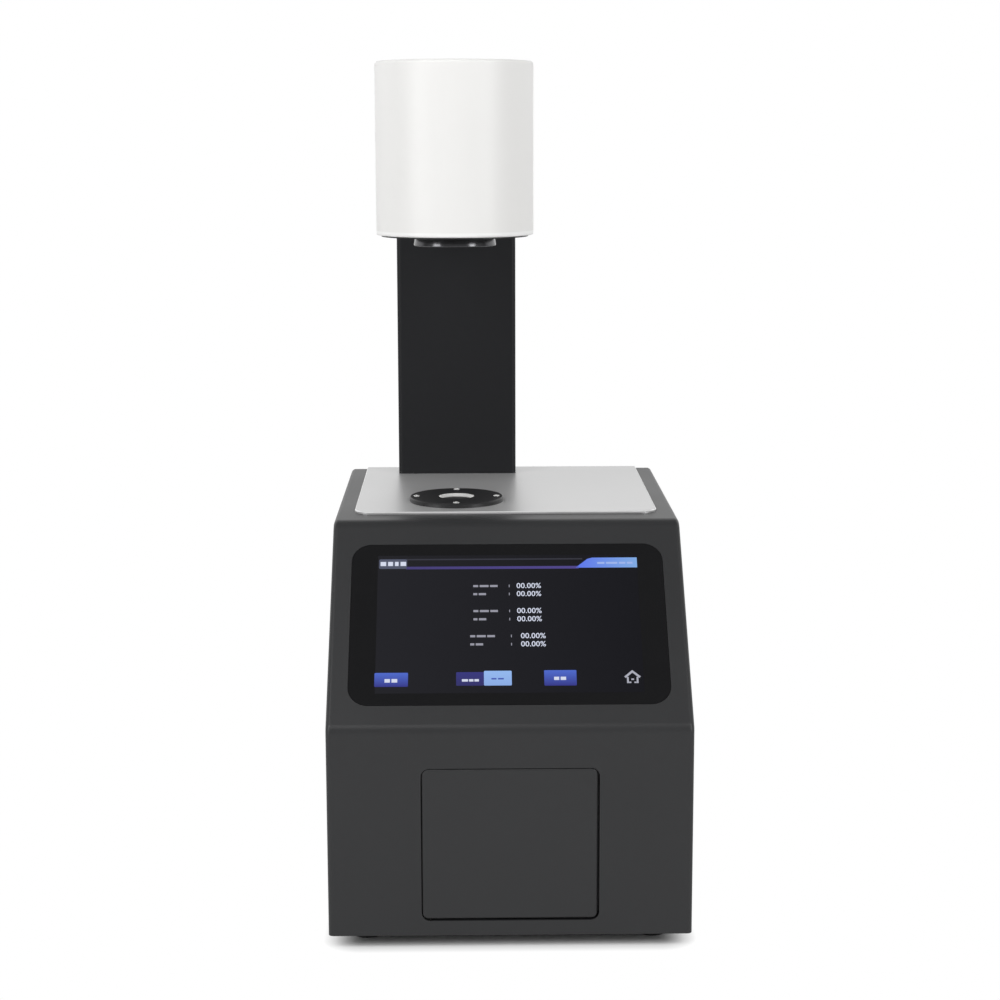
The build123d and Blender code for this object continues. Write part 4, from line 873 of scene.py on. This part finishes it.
@dataclass
class Display:
    """Cover glass with the lit picture of the display on it.

    Places on it are millimetres to the right of the middle, and up the slope from its crease.
    A rectangle is its left, lower, right and upper edges.
    """

    glass: float = 2.0
    glass_up: float = 16.0
    under: float = 0.01
    lift: float = 0.03
    over: float = 0.05
    thickness: float = 0.01
    area: Rect = (-79.2, 24.0, 79.4, 121.0)
    top_line: Rect = (-62.0, 117.6, 46.0, 118.6)
    bar: Rect = (-62.0, 111.0, 43.5, 112.9)
    tab: tuple[Point, ...] = ((41.6, 111.6), (79.4, 111.6), (79.4, 118.9), (52.0, 118.9), (49.0, 118.0))
    mark: Rect = (-78.5, 111.4, -61.4, 118.4)
    mark_corner: float = 1.0
    rows: tuple[float, ...] = (98.6, 92.8, 80.7, 74.9, 63.0, 57.3)
    reading: str = "00.00%"
    digits: float = 5.2
    boldness: float = 0.05
    buttons: tuple[Button, ...] = (
        Button("left", INK_BUTTON, (-79.6, 28.5, -59.8, 38.0)),
        Button("deep", INK_DEEP, (-31.4, 29.0, -15.0, 38.2)),
        Button("light", INK_LIGHT, (-15.0, 29.0, 1.4, 39.0)),
        Button("right", INK_BUTTON, (20.6, 28.7, 39.7, 39.2)),
    )
    button_corner: float = 0.6
    roof: tuple[Point, ...] = ((72.8, 39.0), (67.9, 34.6), (68.8, 33.6), (72.8, 37.2), (76.8, 33.6),
                               (77.7, 34.6))
    walls: tuple[Rect, ...] = ((69.4, 30.1, 70.5, 34.3), (75.1, 30.1, 76.2, 34.3),
                               (70.6, 30.1, 71.9, 31.1), (73.7, 30.1, 75.0, 31.1),
                               (72.0, 32.2, 73.6, 33.2))

    def build(self) -> None:
        """Dresses the glass and lays out the lit picture."""
        GLASS_BLACK.dress("display_glass")
        LCD.dress("lcd_panel")
        BOARD.dress("display_board")
        ZINC.dress("display_bracket")
        self._patch("display_area", GLASS_LIT, [self._box(*self.area)], self.under)
        self._bar()
        self._readings()
        self._buttons()
        LOG.info("display built")

    def _place(self, x: float, up: float, lift: float) -> Vector:
        """A point on the slope in metres.

        Args:
            x: To the right of the middle, in millimetres.
            up: Up the slope from the crease, in millimetres.
            lift: Above the glass, in millimetres.

        Returns:
            The point in the shared frame.
        """
        root = math.sqrt(0.5)
        box = Box.of("display_glass")
        foot = Vector((box.middle[0], box.low[1], box.low[2] + self.glass * root))
        rise = up - self.glass_up
        return (foot + Vector((x, (rise - lift) * root, (rise + lift) * root))) * MM

    def _patch(self, name: str, finish: Finish, outlines: Iterable[Sequence[Point]],
               lift: float | None = None) -> None:
        """Thin lit shapes just over the glass.

        Args:
            name: Name of the piece.
            finish: Its colour.
            outlines: Outlines of the shapes, in slope coordinates.
            lift: Height above the glass in millimetres.
        """
        work = bmesh.new()
        height = self.lift if lift is None else lift
        for outline in outlines:
            work.faces.new([work.verts.new(self._place(x, up, height)) for x, up in outline])
        extruded = bmesh.ops.extrude_face_region(work, geom=list(work.faces))
        normal = Vector((0.0, -1.0, 1.0)).normalized()
        for item in extruded["geom"]:
            if isinstance(item, bmesh.types.BMVert):
                item.co += normal * self.thickness * MM
        piece = new_piece(name, work, None)
        finish.dress(piece)
        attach(piece, "meter")

    def _box(self, x0: float, up0: float, x1: float, up1: float, corner: float = 0.0) -> list[Point]:
        """Outline of a rectangle, with rounded corners if asked.

        Args:
            x0: Left edge.
            up0: Lower edge.
            x1: Right edge.
            up1: Upper edge.
            corner: Corner radius.

        Returns:
            The outline.
        """
        if corner <= 0.0:
            return [(x0, up0), (x1, up0), (x1, up1), (x0, up1)]
        middle = ((x0 + x1) / 2, (up0 + up1) / 2)
        return [(middle[0] + x, middle[1] + up)
                for x, up in rounded_outline(x1 - x0, up1 - up0, corner, 4)]

    def _dashes(self, x: float, up: float, lengths: Sequence[float], half: float = 0.75,
                gap: float = 0.9) -> list[list[Point]]:
        """A row of plain dashes in the place of a word.

        Args:
            x: Left edge.
            up: Middle height along the slope.
            lengths: Length of each dash.
            half: Half of their height.
            gap: Space between them.

        Returns:
            Their outlines.
        """
        outlines = []
        for length in lengths:
            outlines.append(self._box(x, up - half, x + length, up + half))
            x += length + gap
        return outlines

    def _bar(self) -> None:
        """The line, the violet bar and the tab at the top."""
        self._patch("display_top_line", INK_LINE, [self._box(*self.top_line)])
        self._patch("display_bar", INK_VIOLET, [self._box(*self.bar)])
        self._patch("display_tab", INK_TAB, [self.tab])
        title = self._dashes(55.0, 115.0, (4.5, 7.0, 4.0, 3.5), 0.7)
        self._patch("display_tab_dashes", INK_PALE, title, self.over)
        self._patch("display_mark_back", INK_DIM, [self._box(*self.mark, self.mark_corner)])
        mark = self._dashes(-77.6, 115.0, (3.4, 3.0, 2.2, 3.4), 1.5, 1.2)
        self._patch("display_mark", INK_WHITE, mark, self.over)

    def _readings(self) -> None:
        """Three pairs of rows, each with plain dashes and a number."""
        words: list[list[Point]] = []
        numbers: list[Point] = []
        for index, up in enumerate(self.rows):
            left, colon, right = (-21.0, 0.6, 5.2) if index < 4 else (-23.0, 1.4, 7.2)
            lengths = (3.0, 5.4, 4.6) if index % 2 == 0 else (2.4, 4.4)
            words += self._dashes(left, up, lengths)
            words += self._dashes(colon, up, (0.5,), 0.9)
            numbers.append((right, up))
        self._patch("display_words", INK_WORD, words)
        for index, (x, up) in enumerate(numbers):
            self._number(f"display_number_{index}", x, up)

    def _number(self, name: str, x: float, up: float) -> None:
        """A plain number on the display.

        Args:
            name: Name of the piece.
            x: Left edge.
            up: Middle height along the slope.
        """
        curve = bpy.data.curves.new(name, "FONT")
        curve.body = self.reading
        curve.size = self.digits * MM
        curve.align_y = "CENTER"
        curve.resolution_u = 3
        curve.offset = self.boldness * MM
        thing = stand(name, curve)
        bpy.context.view_layer.update()
        mesh = bpy.data.meshes.new_from_object(thing)
        bpy.data.objects.remove(thing)
        flat = stand(name, mesh)
        turn = Matrix.Rotation(math.radians(45.0), 4, "X")
        mesh.transform(Matrix.Translation(self._place(x, up, self.lift + self.thickness)) @ turn)
        INK_WHITE.dress(flat)
        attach(flat, "meter")
        LOG.info("%s: %d faces", name, len(mesh.polygons))

    def _buttons(self) -> None:
        """The blue buttons and the house sign along the bottom."""
        for button in self.buttons:
            self._patch(f"display_button_{button.name}", button.finish,
                        [self._box(*button.place, self.button_corner)])
        words = self._dashes(-73.6, 32.6, (3.2, 3.4), 1.2) + self._dashes(26.4, 33.6, (3.0, 3.2), 1.1)
        words += self._dashes(-28.0, 32.6, (3.6, 2.6, 2.6), 0.8, 0.6)
        self._patch("display_button_dashes", INK_WHITE, words, self.over)
        word = self._dashes(-10.6, 33.6, (3.0, 3.4), 0.5)
        self._patch("display_light_dashes", INK_BUTTON, word, self.over)
        walls = [self._box(*wall) for wall in self.walls]
        self._patch("display_house", INK_SIGN, [self.roof, *walls])


@dataclass
class Door:
    """Accessory door with its pins, strike plate, bin and latch.

    The leaf reaches further left and up than its solid by snug, taken up within the outer band.
    """

    edge: float = 1.6
    corner: float = 3.2
    steps: int = 6
    spare: float = 0.02
    reach: float = 30.0
    snug: tuple[float, float] = (0.8, 0.9)
    band: float = 3.0
    weld: float = 0.001

    def build(self) -> None:
        """Rounds the door's front edge and dresses what is behind it."""
        leaf = self._leaf()
        DOOR_PLASTIC.dress(leaf)
        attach(leaf, "door")
        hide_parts("door")
        # hinge pins: near-black steel, painted shade of the door gap
        PIN_STEEL_PAINTED_SHADE.dress("hinge_pins")
        BARE_STEEL.dress("strike_plate")
        BIN_PLASTIC.dress("compartment_bin", "latch_body", "latch_plunger")
        LOG.info("door and compartment dressed")

    def _leaf(self) -> bpy.types.Object:
        """The door's own form, snug at its left and top, with a rounded front edge.

        Returns:
            The door leaf.
        """
        node = NODES["door"]
        box = Box.of("door")
        work = bmesh.new()
        work.from_mesh(node.data)
        work.transform(node.matrix_world)
        for vert in work.verts:
            from_left = vert.co.x / MM - box.low[0]
            from_top = box.high[2] - vert.co.z / MM
            vert.co.x -= self.snug[0] * max(0.0, 1 - from_left / self.band) * MM
            vert.co.z += self.snug[1] * max(0.0, 1 - from_top / self.band) * MM
        bmesh.ops.remove_doubles(work, verts=work.verts, dist=self.weld * MM)
        leaf = new_piece("door_leaf", work, None)
        carve(leaf, self._block(), "INTERSECT")
        return leaf

    def _block(self) -> bpy.types.Object:
        """Block round the door whose front edge is rounded.

        Returns:
            The block.
        """
        box = Box.of("door")
        left = box.low[0] - self.snug[0]
        top = box.high[2] + self.snug[1]
        width = box.high[0] - left
        height = top - box.low[2]
        work = bmesh.new()
        turns = [math.pi / 2 * step / self.steps for step in range(self.steps + 1)]
        sections = [(self.edge * (1 - math.sin(turn)) - self.spare, self.edge * (1 - math.cos(turn)))
                    for turn in turns]
        rings = []
        for inset, depth in [*sections, (-self.spare, self.reach)]:
            outline = rounded_outline(width - 2 * inset, height - 2 * inset, self.corner - inset)
            rings.append([(left + width / 2 + x, box.low[1] + depth, top - height / 2 + z)
                          for x, z in outline])
        skin(work, rings)
        return new_piece("door_block", work, None)


@dataclass
class Column:
    """Black column with its foot, cap and screws."""

    def build(self) -> None:
        """Dresses the column and its fittings."""
        COLUMN_PAINT.dress("column", "column_cap", "head_arm")
        SINK_ALLOY.dress("column_foot")
        ZINC.dress("backing_plate")
        BLACK_SCREW.dress("column_screws", "arm_screws")
        LOG.info("column dressed")


@dataclass
class Head:
    """White lamp head with its disc, lens ring and optics."""

    wall: float = 2.5
    roof: float = 3.0
    edge: float = 2.2
    lip: float = 1.0
    rim: float = 2.8
    slot_half: float = 29.0
    slot_rise: float = 47.0
    slot_corner: float = 2.0
    slot_start: float = 22.0
    post: float = 38.0
    pocket: Point = (2.3, 1.2)
    screw_hole: Point = (1.4, 4.0)
    ring_radius: float = 26.3
    ring_height: float = 6.0
    cone: float = 1.0
    bore: float = 17.0
    barrel: float = 22.0
    seat: float = 19.0
    seat_height: float = 2.5

    def build(self) -> None:
        """Builds the cover, with painted light on its lowest band, and the ring, and dresses the optics.
        """
        cover = self._cover()
        COVER_ENAMEL.dress(cover)
        # the lowest band takes the brighter enamel copy, painted light from the floor
        cover.data.materials.append(COVER_RIM_PAINTED_LIGHT.material())
        band = (Box.of("head_cover").low[2] + self.rim - self.lip) * MM
        for polygon in cover.data.polygons:
            if polygon.center.z < band:
                polygon.material_index = 1
        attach(cover, "meter")
        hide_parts("head_cover")
        nose = self._nose()
        NOSE_POLISH.dress(nose)
        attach(nose, "meter")
        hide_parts("lens_barrel")
        FLANGE_BLACK.dress("head_base", "aperture_plate")
        LENS.dress("collimating_lens")
        BOARD.dress("led_board")
        SINK_ALLOY.dress("heat_sink")
        ZINC.dress("cover_posts")
        BRIGHT_SCREW.dress("cover_screws")
        LOG.info("head built")

    def _cover(self) -> bpy.types.Object:
        """Smooth turned cover with rounded edges, screw pockets and the arm's slot.

        Returns:
            The cover.
        """
        box = Box.of("head_cover")
        height = box.high[2] - box.low[2]
        radius = box.radius
        inner = radius - self.wall
        band = self.rim - self.lip
        outline = [(0.0, height, 0.0), (radius, height, self.edge), (radius, band, 0.0),
                   (radius, -self.lip, 1.2), (inner, -self.lip, 0.4), (inner, height - self.roof, 1.0),
                   (0.0, height - self.roof, 0.0)]
        work = bmesh.new()
        lathe(work, rounded(outline, 8), (box.middle[0], box.middle[1], box.low[2]), 160)
        piece = new_piece("lamp_cover", work, 40.0)
        self._cut(piece, box)
        return piece

    def _cut(self, piece: bpy.types.Object, box: Box) -> None:
        """Cuts the slot and the screw pockets, and applies the cut.

        Args:
            piece: The cover.
            box: Box of the cover.
        """
        x, y, _ = box.middle
        bottom, top = box.low[2], box.high[2]
        work = bmesh.new()
        outline = rounded_outline(2 * self.slot_half, 2 * self.slot_rise, self.slot_corner, 6)
        skin(work, [[(x + u, y + reach, bottom + v) for u, v in outline]
                    for reach in (self.slot_start, box.radius + 1.0)])
        for side in (-1, 1):
            foot = (x + side * self.post, y, top)
            for (radius, depth), end, steps in ((self.pocket, 1.0, 32), (self.screw_hole, -1.0, 24)):
                lathe(work, [(0.0, -depth), (radius, -depth), (radius, end), (0.0, end)], foot, steps)
        carve(piece, new_piece("cover_cutter", work, None), "DIFFERENCE")

    def _nose(self) -> bpy.types.Object:
        """Turned ring with rounded edges and a step, and the barrel above it.

        Returns:
            The ring and barrel.
        """
        box = Box.of("lens_barrel")
        height = box.high[2] - box.low[2]
        outline = [(self.seat, height, 0.0), (self.barrel, height, 0.4),
                   (self.barrel, self.ring_height, 0.0),
                   (self.ring_radius - self.cone, self.ring_height, 0.3), (self.ring_radius, 0.0, 0.6),
                   (self.bore, 0.0, 0.5), (self.bore, self.seat_height, 0.0),
                   (self.seat, self.seat_height, 0.0)]
        work = bmesh.new()
        lathe(work, rounded(outline, 6), (box.middle[0], box.middle[1], box.low[2]), 128)
        return new_piece("lens_ring", work, 30.0)


@dataclass
class RearPanel:
    """Rear panel with the mains inlet, switch and data socket."""

    shank: float = 1.4
    head: float = 2.75
    mark: float = 1.7
    line: float = 0.5
    proud: float = 0.06
    facing: float = 0.9
    flatness: float = 0.999

    def build(self) -> None:
        """Dresses the panel and its connectors, and adds the screws and the switch's marks."""
        POWDER_BLACK.dress("rear_panel")
        INLET_PLASTIC.dress("power_inlet", "switch_frame")
        ROCKER_GLOSS.dress("power_rocker")
        BARE_STEEL.dress("usb_port")
        screws = self._screws()
        BLACK_SCREW.dress(screws)
        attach(screws, "meter")
        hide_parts("rear_panel_screws")
        for mark in (self._mark_on(), self._mark_off()):
            MARK_WHITE.dress(mark)
            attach(mark, "rocker")
        LOG.info("rear panel dressed")

    def _screws(self) -> bpy.types.Object:
        """Four domed screws that point backwards.

        Returns:
            The screws as one piece.
        """
        box = Box.of("rear_panel_screws")
        seat = Box.of("rear_panel").high[1]
        profile = domed_screw(self.shank, self.head, box.high[1] - seat, seat - box.low[1])
        work = bmesh.new()
        for x in (box.low[0] + self.head, box.high[0] - self.head):
            for z in (box.low[2] + self.head, box.high[2] - self.head):
                lathe(work, profile, (x, -z, seat), 24)
        work.transform(Matrix.Rotation(-math.pi / 2, 4, "X"))
        return new_piece("panel_screws_domed", work)

    def _face(self, upper: bool) -> Matrix:
        """Finds one of the rocker's two faces.

        Args:
            upper: True for the upper face.

        Returns:
            Its middle, with Z away from the face and Y up.
        """
        middle = Box.of("power_rocker").middle[2] * MM
        faces = [face for face in NODES["power_rocker"].data.polygons
                 if face.normal.y > self.facing and (face.center.z > middle) == upper]
        normal = max(faces, key=lambda face: face.area).normal
        flat = [face for face in faces if face.normal.dot(normal) > self.flatness]
        area = sum(face.area for face in flat)
        spot = sum((face.center * face.area for face in flat), Vector()) / area
        turn = normal.to_track_quat("Z", "Y").to_matrix().to_4x4()
        return Matrix.Translation(spot) @ turn

    def _mark_on(self) -> bpy.types.Object:
        """The bar on the upper face.

        Returns:
            The mark.
        """
        work = bmesh.new()
        size = Matrix.Diagonal((self.line * MM, 2 * self.mark * MM, 2 * self.proud * MM, 1.0))
        bmesh.ops.create_cube(work, size=1.0, matrix=self._face(True) @ size)
        return new_piece("rocker_mark_on", work, None)

    def _mark_off(self) -> bpy.types.Object:
        """The ring on the lower face.

        Returns:
            The mark.
        """
        work = bmesh.new()
        inner = self.mark - self.line
        section = [(inner, -self.proud), (self.mark, -self.proud),
                   (self.mark, self.proud), (inner, self.proud)]
        lathe(work, section, (0.0, 0.0, 0.0), 40)
        work.transform(self._face(False))
        return new_piece("rocker_mark_off", work, None)


@dataclass
class Inside:
    """Integrating sphere, trap, paddle and electronics."""

    def build(self) -> None:
        """Dresses what is inside the casing."""
        SPHERE_ALLOY.dress("sphere_upper", "sphere_lower")
        BLACK_SCREW.dress("sphere_clamp_screws")
        ZINC.dress("sphere_stand", "motor_bracket", "power_supply")
        FLANGE_BLACK.dress("light_trap", "detector_module")
        BARE_STEEL.dress("paddle_motor", "board_standoffs")
        DIFFUSER.dress("reference_paddle")
        BOARD.dress("detector_board", "main_board")
        LOG.info("inside dressed")


@dataclass(frozen=True)
class SoftBox:
    """One upright lamp."""

    name: str
    spot: tuple[float, float, float]
    width: float
    height: float
    power: float


@dataclass
class Studio:
    """Floor, backdrop, world and lamps."""

    floor_half: float = 6.0
    floor_grey: float = 0.80
    floor_gloss: float = 0.4
    shadow_start: Point = (-0.020, -0.014)
    shadow_reach: Point = (0.024, 0.0205)
    room: float = 0.16
    horizon: float = 0.25
    behind: Point = (0.05, 0.45)
    below: Point = (0.75, 0.45)
    ahead: Point = (0.1, -0.2)
    near_floor: Point = (0.5, 0.25)
    aim: tuple[float, float, float] = (-0.03, 0.0, 0.34)
    lamps: list[SoftBox] = field(default_factory=lambda: [
        SoftBox("key", (-1.37, -1.03, 1.22), 0.70, 1.90, 19.0),
        SoftBox("fill", (1.35, -1.15, 1.22), 0.60, 1.90, 19.4),
        SoftBox("canopy", (-0.45, -1.05, 1.60), 1.20, 0.50, 5.4),
    ])

    def build(self) -> None:
        """Builds the stage and the light."""
        self._floor()
        self._world()
        for lamp in self.lamps:
            self._lamp(lamp)
        LOG.info("studio built")

    def _floor(self) -> None:
        """Pale floor that shows white where it is lit, with the object's shadow."""
        work = bmesh.new()
        bmesh.ops.create_grid(work, x_segments=8, y_segments=8, size=self.floor_half)
        floor = new_piece("studio_floor", work, None)
        shader = Shader.named("studio_floor_pale")
        camera, shiny, through = shader.rays("Camera", "Glossy", "Transmission")
        seen = camera.larger(shiny * self.floor_gloss).larger(through)
        sides = zip("XY", CAD_BOUNDS[1], self.shadow_start, self.shadow_reach)
        beyond = [(shader.along(axis).magnitude() - (half + start)).larger(0.0) / reach
                  for axis, half, start, reach in sides]
        away = (beyond[0] * beyond[0] + beyond[1] * beyond[1]).clamped()
        plain = shader.node("ShaderNodeBsdfDiffuse", {}, {"Color": (self.floor_grey,) * 3 + (1.0,)})
        white = shader.node("ShaderNodeEmission", {}, {"Color": (1.0, 1.0, 1.0, 1.0), "Strength": 1.0})
        mix = shader.node("ShaderNodeMixShader", {}, {0: seen * away, 1: plain, 2: white})
        floor.data.materials.append(shader.close(mix))

    def _world(self) -> None:
        """World: a white backdrop behind, a dim room in front and overhead."""
        world = bpy.data.worlds.new("studio_world")
        bpy.context.scene.world = world
        shader = Shader(world)
        back, up = (shader.along(axis, "Generated") for axis in "YZ")
        backdrop = back.ramp(*self.behind) * up.ramp(*self.below)
        ahead = back.ramp(*self.ahead) * up.ramp(*self.near_floor) * self.horizon
        camera, through, shiny = shader.rays("Camera", "Transmission", "Glossy")
        seen = camera.larger(through).larger(shiny * backdrop.larger(ahead))
        around = shader.tint(backdrop, (self.room,) * 3, (0.95, 0.95, 0.95))
        level = shader.tint(seen, around, (1.0, 1.0, 1.0))
        shader.close(shader.node("ShaderNodeBackground", {}, {"Color": level, "Strength": 1.0}),
                     "ShaderNodeOutputWorld")

    def _lamp(self, lamp: SoftBox) -> None:
        """Adds a soft lamp aimed at the object.

        Args:
            lamp: The lamp.
        """
        data = bpy.data.lights.new(lamp.name, "AREA")
        data.energy = lamp.power
        data.shape = "RECTANGLE"
        data.size = lamp.width
        data.size_y = lamp.height
        thing = stand(lamp.name, data)
        thing.location = lamp.spot
        thing.rotation_euler = (Vector(self.aim) - Vector(lamp.spot)).to_track_quat("-Z", "Y").to_euler()


@dataclass
class View:
    """Camera at the photograph's angle, fitted to it."""

    sensor: float = 36.0
    pixels: float = 1000.0
    focal_pixels: float = 2087.53
    nearest: float = 0.05
    yaw: float = 0.0145675
    pitch: float = 0.1725496
    roll: float = -0.0023711
    spot: tuple[float, float, float] = (-0.022691, -1.326305, 0.473093)

    def build(self) -> None:
        """Creates the camera."""
        data = bpy.data.cameras.new("camera")
        data.sensor_width = self.sensor
        data.lens = self.focal_pixels * self.sensor / self.pixels
        data.clip_start = self.nearest
        camera = stand("camera", data)
        turn = (Matrix.Rotation(-self.yaw, 4, "Z") @ Matrix.Rotation(math.pi / 2 - self.pitch, 4, "X")
                @ Matrix.Rotation(self.roll, 4, "Z"))
        camera.matrix_world = Matrix.Translation(self.spot) @ turn
        bpy.context.scene.camera = camera
        bpy.context.scene.view_settings.view_transform = "Standard"
        LOG.info("camera set")


def write_sizes() -> None:
    """Updates the view layer."""
    bpy.context.view_layer.update()


def main() -> None:
    """Builds everything in order."""
    logging.basicConfig(level=logging.INFO, format="%(message)s")
    for part in (Casing(), Deck(), Display(), Door(), Column(), Head(), RearPanel(), Inside(),
                 Studio(), View()):
        part.build()
    write_sizes()


if __name__ == "__main__":
    main()
